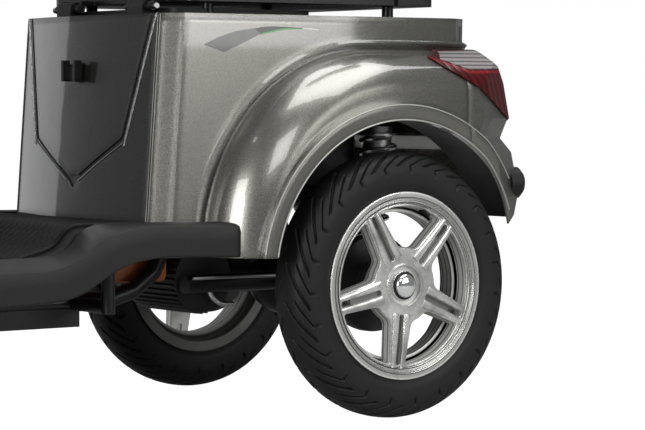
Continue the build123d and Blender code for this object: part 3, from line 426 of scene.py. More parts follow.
def make_finishes(paint):
    """Fills the table of finishes, by their short names."""
    F = FINISHES
    F["body"] = flake_paint("graphite_flake", paint.body)
    F["panel"] = flake_paint("dark_gloss", paint.panel, 2.6, 0.35)
    F["plastic"] = grained_plastic("grained_plastic", paint.plastic)
    F["smooth_plastic"] = grained_plastic("smooth_plastic", paint.plastic, 0.3, 300.0, 0.00004)
    F["rubber"] = rubber("tyre_rubber", paint.rubber)
    F["alloy"] = cast_wheel("wheel_alloy", paint.alloy, centre("rim_left"))
    F["front_alloy"] = cast_wheel("front_alloy", paint.alloy, centre("rim_front"))
    F["chrome"] = satin_metal("hub_chrome", (0.82, 0.82, 0.82), 0.05, 1.0, 60.0, 0.00001)
    F["steel"] = satin_metal("bare_steel", (0.42, 0.42, 0.42), 0.34)
    F["motor"] = satin_metal("cast_case", (0.030, 0.030, 0.030), 0.45, 0.5, 200.0, 0.0001)
    F["red"] = lens("red_lens", paint.red, (0.42, 0.39, 0.39))
    F["clear"] = glass_face("clear_lens", (0.72, 0.74, 0.76))
    F["frame"] = enamel("chassis_enamel", paint.frame_black)
    F["hide"] = hide("seat_vinyl", (0.016, 0.016, 0.017))
    F["battery"] = enamel("battery_case", (0.30, 0.085, 0.02), 0.4)
    F["cast"] = satin_metal("cast_drum", (0.035, 0.035, 0.035), 0.42, 0.6, 200.0, 0.0001)
    F["spring"] = satin_metal("spring_wire", (0.55, 0.55, 0.55), 0.22)
    # painted highlight: lighter metals for the thin tubes that stand in for edge highlights on the body
    F["highlight_metal"] = satin_metal("highlight_line_metal", (0.24, 0.24, 0.23), 0.3)
    F["edge_highlight_metal"] = satin_metal("edge_highlight_metal", (0.40, 0.40, 0.37), 0.35, 0.5)
    F["mirror"] = satin_metal("mirror_glass", (0.9, 0.9, 0.9), 0.02, 1.0, 20.0, 0.000001)
    F["mat"] = mat_rubber("mat_rubber", paint.rubber)
    for name, colour in (("grey", (0.105, 0.105, 0.10)), ("black", (0.006, 0.006, 0.006)),
                         ("green", (0.02, 0.24, 0.04)), ("white", (0.75, 0.75, 0.75))):
        F["stripe_" + name] = film("stripe_" + name, colour)


def dress(node, finish):
    """Gives a CAD node one finish."""
    slots = NODES[node].data.materials
    if not slots:
        slots.append(FINISHES[finish])
    for index in range(len(slots)):
        slots[index] = FINISHES[finish]


DRESSED = {
    "body": "side_panel_left side_panel_right rear_panel front_fairing front_fender",
    "panel": "front_panel leg_shield",
    "plastic": "floor_board deck inner_fender_left inner_fender_right storage_tub bag_hook seat_hinge_block",
    "smooth_plastic": "dash mirror_left mirror_right backrest_frame seat_base seat_bracket_left seat_bracket_right",
    "rubber": "tyre_front tyre_left tyre_right floor_mat grip_left grip_right bumper_left bumper_right",
    "alloy": "rim_left rim_right",
    "front_alloy": "rim_front",
    "chrome": "hub_cap_left hub_cap_right",
    "steel": "handlebar shock_left shock_right brake_drum_front brake_drum_left brake_drum_right",
    "motor": "motor",
    "red": "tail_lamp_left tail_lamp_right",
    "clear": "headlamp",
    "frame": "main_frame axle_housing fork",
    "hide": "seat_cushion backrest_pad armrest_left armrest_right",
    "battery": "battery_pack",
}


# Shapes: grids of points worked out with numpy

def spline(points, count):
    """A smooth line through the points: Catmull-Rom, with count points spread evenly over its spans."""
    p = np.asarray(points, float)
    p = np.vstack([2 * p[0] - p[1], p, 2 * p[-1] - p[-2]])
    t = np.linspace(0, len(p) - 3 - 1e-9, count)
    i = t.astype(int)
    t = (t - i)[:, None]
    a, b, c, d = p[i], p[i + 1], p[i + 2], p[i + 3]
    return 0.5 * (2 * b + (c - a) * t + (2 * a - 5 * b + 4 * c - d) * t ** 2 + (3 * b - a - 3 * c + d) * t ** 3)


def ease(x, low, high):
    """0 below low, 1 above high and 3t^2 - 2t^3 between."""
    t = np.clip((x - low) / (high - low), 0, 1)
    return t * t * (3 - 2 * t)


def spun(profile, middle, steps, axis=(1, 0, 0)):
    """Profile of (along the axis, radius) turned about the axis: a grid with one ring for each profile point."""
    axis = Vector(axis).normalized()
    side = axis.orthogonal().normalized()
    up = np.array(axis.cross(side))
    side, axis = np.array(side), np.array(axis)
    turn = np.linspace(0, 2 * math.pi, steps, endpoint=False)
    ring = np.cos(turn)[:, None] * side + np.sin(turn)[:, None] * up
    along, radius = np.asarray(profile, float).T
    return np.array(middle) + along[:, None, None] * axis + radius[:, None, None] * ring


def tube(path, radius, sides=12, up=(0, 0, 1)):
    """A round tube along a path: rings square to its direction, one for each point of the path."""
    path = np.asarray(path, float)
    ahead = np.gradient(path, axis=0)
    ahead /= np.linalg.norm(ahead, axis=1)[:, None]
    side = np.cross(ahead, np.array(up, float))
    side /= np.linalg.norm(side, axis=1)[:, None]
    lift = np.cross(side, ahead)
    turn = np.linspace(0, 2 * math.pi, sides, endpoint=False)
    radius = np.broadcast_to(np.asarray(radius, float), len(path))[:, None, None]
    return path[:, None] + radius * (np.cos(turn)[:, None] * side[:, None] + np.sin(turn)[:, None] * lift[:, None])


def slab(outline, thickness, lift, edge=0.0):
    """A plate: an outline in space, moved by lift times the thickness, with edge taken off its rims."""
    line = np.asarray(outline, float)
    lift = np.asarray(lift, float)
    inward = line.mean(0) - line
    inward /= np.linalg.norm(inward, axis=1)[:, None]
    rings = [(edge, 0), (0, edge), (0, thickness - edge), (edge, thickness)] if edge else [(0, 0), (0, thickness)]
    return np.array([line + inward * inset + lift * high for inset, high in rings])


def rounded(width, depth, radius, steps=6):
    """Outline of a rectangle with round corners, in its own plane."""
    turn = np.linspace(0, math.pi / 2, steps)
    arc = np.c_[np.cos(turn), np.sin(turn)] * radius
    corner = np.array([width / 2 - radius, depth / 2 - radius])
    quarters = []
    for sx, sy, flip in ((1, 1, 1), (-1, 1, -1), (-1, -1, 1), (1, -1, -1)):
        quarters.append((corner + arc)[::flip] * (sx, sy))
    return np.vstack(quarters)


def read_points(mesh):
    """The mesh's points as rows of x, y and z."""
    points = np.empty(len(mesh.vertices) * 3)
    mesh.vertices.foreach_get("co", points)
    return points.reshape(-1, 3)


def smoothed(points, edges, rounds):
    """Each point moves to the average of its neighbours, again and again."""
    near = np.bincount(edges.ravel(), minlength=len(points))[:, None]
    for _ in range(rounds):
        total = np.zeros_like(points)
        np.add.at(total, edges[:, 0], points[edges[:, 1]])
        np.add.at(total, edges[:, 1], points[edges[:, 0]])
        points = 0.4 * points + 0.6 * total / near
    return points


def plump(node, body, inset, cap, cell, press):
    """A padded cover: the CAD form, a little smaller, remeshed, blown up by cloth pressure as far as the cap,
    then pressed in by seams."""
    data = NODES[node].data.copy()
    thing = add_object(node + "_cover", data)
    points = read_points(data)
    low, high = points.min(0), points.max(0)
    middle = (low + high) / 2
    data.vertices.foreach_set("co", (middle + (points - middle) * (1 - 2 * inset / (high - low))).ravel())
    skin = thing.modifiers.new("skin", "REMESH")
    skin.mode, skin.voxel_size = "VOXEL", cell
    mesh = bpy.data.meshes.new_from_object(thing.evaluated_get(bpy.context.evaluated_depsgraph_get()))
    mesh.name = thing.name
    thing.modifiers.clear()
    thing.data = mesh
    edges = np.empty(len(mesh.edges) * 2, dtype=np.int64)
    mesh.edges.foreach_get("vertices", edges)
    edges = edges.reshape(-1, 2)
    points = smoothed(read_points(mesh), edges, 6)
    mesh.vertices.foreach_set("co", points.ravel())
    mesh.update()
    cloth = thing.modifiers.new("cloth", "CLOTH")
    cloth.settings.use_pressure = True
    cloth.settings.uniform_pressure_force = 4.0
    cloth.settings.effector_weights.gravity = 0.0
    for frame_number in range(1, 21):
        bpy.context.scene.frame_set(frame_number)
    blown = read_points(thing.evaluated_get(bpy.context.evaluated_depsgraph_get()).to_mesh())
    thing.modifiers.clear()
    bpy.context.scene.frame_set(1)
    move = blown - points
    length = np.linalg.norm(move, axis=1)[:, None] + 1e-9
    points = points + move * np.minimum(1, cap / length)
    points = press(points, middle)
    mesh.vertices.foreach_set("co", points.ravel())
    mesh.polygons.foreach_set("use_smooth", np.ones(len(mesh.polygons), bool))
    mesh.update()
    mesh.materials.clear()
    mesh.materials.append(FINISHES["hide"])
    finer = thing.modifiers.new("finer", "SUBSURF")
    finer.levels = finer.render_levels = 1
    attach(thing, body)
    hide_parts(node)


class Piece:
    """A mesh gathered from grids of points."""

    def __init__(self, name):
        self.name, self.points, self.faces, self.count = name, [], [], 0

    def grid(self, points, wrap=False):
        """Closed rows of points joined into quads. wrap joins the last row to the first, else both get a cap."""
        rows, cols = points.shape[:2]
        i, j = np.meshgrid(np.arange(rows if wrap else rows - 1), np.arange(cols), indexing="ij")
        a, b = i * cols, ((i + 1) % rows) * cols
        quads = np.stack([a + j, a + (j + 1) % cols, b + (j + 1) % cols, b + j], -1).reshape(-1, 4) + self.count
        self.faces += quads.tolist()
        if not wrap:
            self.faces += [list(range(self.count, self.count + cols))[::-1],
                           list(range(self.count + (rows - 1) * cols, self.count + rows * cols))]
        self.points.append(points.reshape(-1, 3))
        self.count += rows * cols
        return self

    def mirrored(self):
        """Adds the same points on the other side of the middle plane."""
        self.faces += [[k + self.count for k in face[::-1]] for face in self.faces]
        self.points += [p * (-1, 1, 1) for p in self.points]
        self.count *= 2
        return self

    def done(self, body, finish, slot, replaces=(), angle=35.0):
        """Makes the mesh: smooth with sharp edges past the angle, on its body and with its finish. The slot argument
        is not used.
        """
        mesh = bpy.data.meshes.new(self.name)
        mesh.from_pydata(np.vstack(self.points), [], self.faces)
        work = bmesh.new()
        work.from_mesh(mesh)
        bmesh.ops.recalc_face_normals(work, faces=work.faces)
        work.to_mesh(mesh)
        work.free()
        mesh.polygons.foreach_set("use_smooth", np.ones(len(mesh.polygons), bool))
        mesh.set_sharp_from_angle(angle=math.radians(angle))
        mesh.materials.append(FINISHES[finish])
        thing = add_object(self.name, mesh)
        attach(thing, body)
        if replaces:
            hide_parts(*replaces)


# Stage

def white_share(tree, mirrored):
    """1 for rays from the camera or through glass, and the mirrored share for rays off a glossy surface."""
    path = tree.nodes.new("ShaderNodeLightPath")
    camera, gloss, glass = (Wire(tree, path.outputs[name])
                            for name in ("Is Camera Ray", "Is Glossy Ray", "Is Transmission Ray"))
    return camera.max(gloss * mirrored).max(glass)


class TRIKE_OT_stage(bpy.types.Operator):
    """Camera, floor, lamps and background"""
    bl_idname = "trike.stage"
    bl_label = "Stage"

    def execute(self, context):
        s = context.scene.trike_stage
        a, e = s.azimuth, s.elevation
        back = Vector((math.sin(a) * math.cos(e), -math.cos(a) * math.cos(e), math.sin(e)))
        right = Vector((0, 0, 1)).cross(back).normalized()
        up = back.cross(right)
        data = bpy.data.cameras.new("camera")
        data.sensor_width = SENSOR
        data.sensor_fit = "HORIZONTAL"
        data.lens = s.focal_px / IMAGE_W * SENSOR
        data.clip_end = 200.0
        camera = add_object("camera", data)
        turn = Matrix((right, up, back)).transposed().to_4x4()
        camera.matrix_world = Matrix.Translation(Vector(s.place)) @ turn
        context.scene.camera = camera
        context.scene.view_settings.view_transform = "Standard"

        half = s.floor_size / 2
        mesh = bpy.data.meshes.new("floor")
        corners = [(-half, -half, 0), (half, -half, 0), (half, half, 0), (-half, half, 0)]
        mesh.from_pydata(corners, [], [(0, 1, 2, 3)])
        floor = add_object("floor", mesh)
        f = Finish("studio_floor")
        glow = f.node("ShaderNodeEmission", None, {"Color": (1, 1, 1), "Strength": FLOOR_GLOW})
        f.set(Base_Color=(s.floor_tone,) * 3, Roughness=0.9, Specular_IOR_Level=0.1)
        seen = white_share(f.tree, s.mirrored) * FLOOR_GLOW_SHARE
        cover = f.node("ShaderNodeMixShader", None, {0: seen, 1: Wire(f.tree, f.shader.outputs[0]), 2: glow})
        out = next(n for n in f.tree.nodes if n.type == "OUTPUT_MATERIAL")
        feed(f.tree, out.inputs[0], cover)
        mesh.materials.append(f.material)

        world = bpy.data.worlds.new("studio")
        context.scene.world = world
        world.use_nodes = True
        tree = world.node_tree
        soft = add_node(tree, "ShaderNodeBackground", None, {"Color": (0.95, 0.98, 1.0), "Strength": s.sky})
        white = add_node(tree, "ShaderNodeBackground", None, {"Color": (1, 1, 1), "Strength": 1.0})
        both = add_node(tree, "ShaderNodeMixShader", None, {0: white_share(tree, s.mirrored), 1: soft, 2: white})
        out = next(n for n in tree.nodes if n.type == "OUTPUT_WORLD")
        feed(tree, out.inputs[0], both)

        for name, place, size, power in (
            ("top_softbox", (0.60, 1.0, 3.4), (2.5, 2.5), s.key_power * 0.75),
            ("side_softbox", (3.3, 1.75, 1.45), (1.9, 1.7), s.side_power * 0.8),
            ("front_softbox", (1.0, -3.1, 1.35), (1.3, 2.1), s.side_power),
            ("fill_softbox", (2.9, -0.8, 2.6), (1.2, 1.2), s.side_power * 0.35),
            ("strip_softbox", (1.6, -2.9, 0.95), (0.4, 1.5), s.side_power * 0.42),
            ("far_softbox", (-3.6, -0.7, 0.9), (1.6, 1.7), s.side_power * 0.13),
        ):
            light = bpy.data.lights.new(name, "AREA")
            light.shape = "RECTANGLE"
            light.size, light.size_y = size
            light.energy = power
            lamp = add_object(name, light)
            aim = Vector((0, 0.2, 0.45)) - Vector(place)
            lamp.matrix_world = Matrix.Translation(place) @ aim.to_track_quat("-Z", "Y").to_matrix().to_4x4()
        return {"FINISHED"}


class TRIKE_OT_finishes(bpy.types.Operator):
    """Makes the materials and gives every CAD node its own"""
    bl_idname = "trike.finishes"
    bl_label = "Finishes"

    def execute(self, context):
        make_finishes(context.scene.trike_paint)
        for finish, names in DRESSED.items():
            for name in names.split():
                dress(name, finish)
        return {"FINISHED"}


# Wheels

class TRIKE_OT_tyres(bpy.types.Operator):
    """Tyres: a section turned about the axle, with swept tread grooves pressed in towards the section's middle"""
    bl_idname = "trike.tyres"
    bl_label = "Tyres"

    def execute(self, context):
        s = context.scene.trike_tyre
        for tag, (body, way) in WHEELS.items():
            node = "tyre_" + tag
            middle, (half, _, outside) = centre(node), half_size(node)
            wall = [(0.855, 0.637), (0.862, 0.702), (0.955, 0.742), (0.996, 0.80), (0.998, 0.85), (0.955, 0.90),
                    (0.84, 0.946), (0.62, 0.979), (0.32, 0.996), (0.0, 1.0)]
            fine = spline(wall, 400) * (half, outside)
            step = np.hypot(*np.diff(fine, axis=0).T) * np.where(fine[1:, 1] > 0.88 * outside, 3.0, 1.0)
            run = np.concatenate([[0], np.cumsum(step)])
            place = np.linspace(0, run[-1], s.across // 2)
            side = np.c_[np.interp(place, run, fine[:, 0]), np.interp(place, run, fine[:, 1])]
            section = np.vstack([side, (side * (-1, 1))[::-1][1:]])
            x, r = section.T
            lines = np.exp(-((r - 0.77 * outside) / 0.0012) ** 2) + np.exp(-((r - 0.86 * outside) / 0.001) ** 2)
            spread = ease(r, 0.84 * outside, 0.85 * outside)
            across = np.clip(np.hypot(x, (outside - r) * 1.5) / (half * 1.25), 0, 1)
            turn = np.linspace(0, 2 * math.pi, s.around, endpoint=False)[:, None]
            phase = s.grooves * turn / (2 * math.pi) + s.sweep * across ** 1.25 + 0.5 * (x < 0)
            near = np.abs((phase + 0.5) % 1 - 0.5)
            between = np.abs(phase % 1 - 0.5)
            long_cut = ease(0.070 + 0.030 * across - near, 0, 0.035)
            long_cut = long_cut * ease(across, 0.06, 0.10) * (1 - ease(across, 0.96, 1.0))
            short_cut = ease(0.050 - between, 0, 0.03) * ease(across, 0.46, 0.50)
            press = s.depth * np.maximum(long_cut, 0.8 * short_cut) * spread - 0.0006 * lines
            heart = 0.80 * outside
            run = np.hypot(x, r - heart) + 1e-6
            px = x - x / run * press
            pr = r - (r - heart) / run * press
            points = np.stack([middle.x + way * px, middle.y + pr * np.sin(turn), middle.z + pr * np.cos(turn)], -1)
            Piece("tread_" + tag).grid(points, wrap=True).done(body, "rubber", "tyre_rubber", (node,), 60)
        return {"FINISHED"}


class TRIKE_OT_spokes(bpy.types.Operator):
    """Twin ridges on each spoke: rounded bars that follow the spoke's taper, and a stepped rim ring"""
    bl_idname = "trike.spokes"
    bl_label = "Spokes"

    def execute(self, context):
        s = context.scene.trike_spoke
        for tag, (body, way) in WHEELS.items():
            c = centre("rim_" + tag)
            ridges = Piece("spoke_ridges_" + tag)
            r = np.linspace(s.start, s.end, 28)
            half = np.interp(r, (s.start, s.end), (s.width_hub / 2, s.width_rim / 2))
            turn = np.linspace(0, 2 * math.pi, 16, endpoint=False)
            corner = [np.sign(wave) * np.abs(wave) ** 0.5 for wave in (np.cos(turn), np.sin(turn))]
            fade = np.sin(np.linspace(0.25, math.pi - 0.25, 28)) ** 0.35
            for k in range(SPOKES):
                angle = math.radians(s.first + 360 / SPOKES * k)
                out = np.array([0, math.sin(angle), math.cos(angle)])
                side = np.array([0, math.cos(angle), -math.sin(angle)])
                for flank in (1, -1):
                    middle = flank * (s.channel / 2 + half - s.step) / 2
                    wide = (half - s.step - s.channel / 2) / 2
                    across = middle[:, None] + wide[:, None] * corner[0]
                    height = s.rise * fade[:, None] * corner[1]
                    ridges.grid(np.array(c) + r[:, None, None] * out + across[..., None] * side
                                + (way * (s.face + height))[..., None] * np.array([1.0, 0, 0]))
            for inner, outer, face in ((0.1245, 0.1275, 0.0352), (0.1300, 0.1322, 0.0372)):
                ring = np.array([(0.030, inner), (face - 0.001, inner), (face, inner + 0.0006),
                                 (face, outer - 0.0006), (face - 0.001, outer), (0.030, outer)])
                ridges.grid(spun(ring * (way, 1), c, 160), wrap=True)
            ridges.done(body, "alloy" if tag != "front" else "front_alloy", "rim_alloy", (), 40)
        return {"FINISHED"}


class TRIKE_OT_hubs(bpy.types.Operator):
    """Hub caps, valves and drum cases: stepped profiles turned about the axle, the cap's ring notched by a cosine"""
    bl_idname = "trike.hubs"
    bl_label = "Hubs"

    def execute(self, context):
        for tag, (body, way) in WHEELS.items():
            if tag != "front":
                node = "hub_cap_" + tag
                low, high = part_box(node)
                foot = low.x if way > 0 else high.x
                middle = (foot, centre(node).y, centre(node).z)
                dome = [(0, .0225), (.0035, .0228), (.0045, .0222), (.005, .0195), (.0052, .0180), (.0085, .0180),
                        (.0102, .0172), (.0122, .0150), (.0138, .0112), (.0147, .0060), (.0149, .0010)]
                points = spun(dome, middle, 96, (way, 0, 0))
                turn = np.linspace(0, 2 * math.pi, 96, endpoint=False)
                notch = 1 - 0.035 * (np.cos(24 * turn) > 0.3)
                points[1:3] = middle + (points[1:3] - middle) * notch[:, None]
                Piece("dome_" + tag).grid(points).done(body, "chrome", "hub_chrome", (node,), 30)
                collar = [(.0040, .0216), (.0054, .0214), (.0060, .0205),
                          (.0060, .0186), (.0054, .0179), (.0040, .0178)]
                piece = Piece("cap_collar_" + tag).grid(spun(collar, middle, 96, (way, 0, 0)), wrap=True)
                piece.done(body, "smooth_plastic", "black_plastic", (), 30)
            drum = "brake_drum_" + tag
            size = (half_size(drum).x, half_size(drum).z)
            case = np.array([(-1, 0.35), (-1, 0.62), (-0.7, 0.66), (-0.8, 0.93), (-1, 0.95),
                             (-1, 0.99), (-0.5, 1), (0.5, 1), (1, 0.99), (1, 0.35)])
            piece = Piece("drum_case_" + tag).grid(spun(case * size, centre(drum), 72))
            piece.done(body, "cast", "bare_steel", (drum,), 30)
            root = centre("rim_" + tag) + Vector((way * 0.020, math.sin(0.35) * 0.121, math.cos(0.35) * 0.121))
            stem = np.array([root + Vector((way * 0.010 * k, 0, -0.004 * k)) for k in (0, 0.5, 1.0, 1.6, 2.0)])
            piece = Piece("valve_" + tag).grid(tube(stem, [.0042, .004, .003, .003, .0026], 10))
            piece.done(body, "rubber", "tyre_rubber")
        return {"FINISHED"}


# Floor, mat and side skirts

class TRIKE_OT_floor(bpy.types.Operator):
    """Floor moulding: a slab along the floor line, and side skirts whose section slides along three smooth lines"""
    bl_idname = "trike.floor"
    bl_label = "Floor"

    def execute(self, context):
        s = context.scene.trike_floor
        low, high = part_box("floor_board")
        front, rear, half = low.y, 0.286, high.x
        inner = half - s.skirt_width
        line_out = [(front, .248), (-.10, .249), (-.044, .2505), (-.012, .258), (.028, .276), (.070, .298),
                    (.120, .306), (.199, .305), (rear, .303)]
        line_in = [(front, .262), (-.10, .264), (-.030, .2655), (-.008, .2695), (.010, .279), (.024, .294),
                   (.040, .3045), (.083, .309), (rear, .306)]
        line_low = [(front, .199), (-.122, .199), (-.030, .203), (.006, .2105), (.028, .221), (.049, .233),
                    (.068, .243), (.090, .251), (.120, .2565), (.161, .2585), (rear, .2545)]
        bend = rear - s.blunt
        tip = bend + s.blunt * np.sin(np.linspace(0.05, math.pi / 2, 20))
        y = np.concatenate([np.linspace(front, bend, 200), tip])
        turned = s.blunt - np.sqrt(s.blunt ** 2 - np.clip(y - bend, 0, s.blunt) ** 2)
        out, into, base = (np.interp(y, *spline(line, 400).T) for line in (line_out, line_in, line_low))
        r = s.corner
        rows = [
            (half - 0.002, base), (half, base + 0.002), (half, base + (out - base) * 0.5), (half, out - r * 1.6),
            (half - r * 0.35, out - r * 0.45), (half - r * 1.4, out + 0.0005),
            (half - s.skirt_width * 0.5, (out + into) / 2 + 0.001),
            (inner + r * 1.3, into), (inner + r * 0.35, into - r * 0.35), (inner, into - r * 1.4),
            (inner, base + 0.002), (inner + 0.004, base),
        ]
        skirt = [np.stack([x - turned * (x > half - s.skirt_width * 0.5), y, z], -1) for x, z in rows]
        moulding = Piece("floor_moulding").grid(np.stack(skirt, 1)).mirrored()

        floor = np.array([(front, .244), (-.10, .244), (-.05, .2585), (.001, .273), (.034, .300), (.10, .3015),
                          (.17, .3025)])

        def sheet(start, end, steps, section):
            """A strip that follows the floor line with a section of (across, above the line)."""
            y = np.linspace(start, end, steps)
            z = np.interp(y, *spline(floor, 300).T)
            return np.stack([np.stack([np.full_like(y, x), y, z + lift], -1) for x, lift in section], 1)

        wide = inner + 0.002
        moulding.grid(sheet(front, .17, 120, [(-wide, 0), (wide, 0), (wide, -0.024), (-wide, -0.024)]))
        moulding.done("chassis", "plastic", "black_plastic", ("floor_board",), 28)

        low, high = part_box("floor_mat")
        wide = high.x
        edge = [(-wide, .0005), (-wide, .004), (-wide + .002, .0062), (-wide + .010, .0060), (-wide + .013, .0048)]
        edge += [(-x, z) for x, z in edge[::-1]]
        piece = Piece("tread_mat").grid(sheet(low.y, high.y, 160, edge))
        piece.done("chassis", "mat", "mat_rubber", ("floor_mat",), 40)
        return {"FINISHED"}


# Body trim

def pair(name, shape):
    """A piece and its mirror image on the other side."""
    return Piece(name).grid(shape).mirrored()


class TRIKE_OT_trim(bpy.types.Operator):
    """Trim: bright tubes as painted highlights along the front panel's edges, its chevron and the arches, a dark gap
    line, the side stripes and the hinge bolts
    """
    bl_idname = "trike.trim"
    bl_label = "Body trim"

    def execute(self, context):
        low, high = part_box("front_panel")
        z = np.linspace(low.z, high.z - 0.002, 30)
        y = 0.172 + 0.075 * (z - 0.253)
        # painted highlight: the two bright metal tubes stand in for the highlights on the edges of the front panel's
        # gap; the dark tube between them is the gap line
        for name, x, ahead, radius, finish in (("inner_edge_highlight", .1874, .0002, .0009, "highlight_metal"),
                                               ("panel_gap_line", .1892, .0, .0012, "plastic"),
                                               ("outer_edge_highlight", .1912, -.0010, .0009, "highlight_metal")):
            line = np.stack([np.full_like(z, x), y - ahead, z], -1)
            pair(name, tube(line, radius, 8, (0, 1, 0))).done("chassis", finish, "silver_paint")

        corners = [(.1835, .611), (.1600, .530), (.1292, .4235), (.1240, .4190), (.0800, .3965), (.0160, .3620)]
        px, pz = spline(corners, 120).T
        py = low.y + 0.0157 * (px / 0.188) ** 2 + 0.075 * (pz - 0.303) - 0.0008
        # painted highlight: two bright metal tubes along the chevron groove stand in for its edge highlights
        chevron = Piece("chevron_highlight_line")
        for shift in (0.0, 0.0032):
            chevron.grid(tube(np.stack([px + shift, py, pz + shift * 0.4], -1), 0.0006, 8, (0, 1, 0)))
        chevron.mirrored().done("chassis", "spring", "silver_paint")

        # painted highlight: bright metal tubes round the arch and along the lip's edge stand in for their edge
        # highlights
        for name, radius, thick, last in (("arch_highlight_line", .2392, .0014, 24.0), ("lip_highlight_line", .2618, .0011, 34.0)):
            turn = np.radians(np.linspace(170.5, last, 140))
            ay, az = ARCH_Y + radius * np.cos(turn), ARCH_Z + radius * np.sin(turn)
            ax = np.minimum(0.3136, 0.3216 - 0.263 * (ay - 0.690))
            line = np.stack([ax, ay, az], -1)
            pair(name, tube(line, thick, 8, (1, 0, 0))).done("chassis", "edge_highlight_metal", "silver_paint")

        s = context.scene.trike_trim
        arrow = [(0.260, 0.566), (0.2965, 0.5553), (0.337, 0.5718), (0.3624, 0.5833), (0.3497, 0.591),
                 (0.3172, 0.5863), (0.2885, 0.5778)]
        upper = spline([(0.350, 0.5905), (0.3715, 0.5937), (0.3955, 0.5942), (0.4393, 0.5926)], 24)
        lower = spline([(0.3630, 0.5840), (0.3789, 0.5868), (0.4050, 0.5915), (0.4393, 0.5920)], 24)
        under = spline([(0.3619, 0.5815), (0.3789, 0.5847), (0.4080, 0.5896), (0.4393, 0.5912)], 24)
        tail = [(0.4385, 0.5911), (0.4385, 0.5927), (0.4698, 0.5905), (0.4698, 0.5898)]
        for name, line, finish in (("stripe_arrow", arrow, "stripe_grey"),
                                   ("stripe_blade", np.vstack([upper, lower[::-1]]), "stripe_black"),
                                   ("stripe_edge", np.vstack([lower, under[::-1]]), "stripe_green"),
                                   ("stripe_tail", tail, "stripe_white")):
            outline = np.c_[np.full(len(line), s.film_x), line]
            pair(name, slab(outline, s.film, (1, 0, 0))).done("chassis", finish, "silver_paint")

        edge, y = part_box("seat_hinge_block")[1].x, centre("seat_hinge_block").y
        nut = [(0, .0030), (.008, .0030), (.008, .0046), (.0105, .0046), (.0114, .0038), (.0114, .0004)]
        head = [(0, .0048), (.0012, .0050), (.0024, .0046), (.0026, .0024), (.0016, .0022), (.0016, .0002)]
        bolts = Piece("hinge_bolts").grid(spun(nut, (edge, y, 0.624), 24))
        bolts.grid(spun(head, (0.0745, y, 0.624), 24, (-1, 0, 0)))
        bolts.mirrored().done("seat", "steel", "bare_steel")
        return {"FINISHED"}


# Running gear under the body

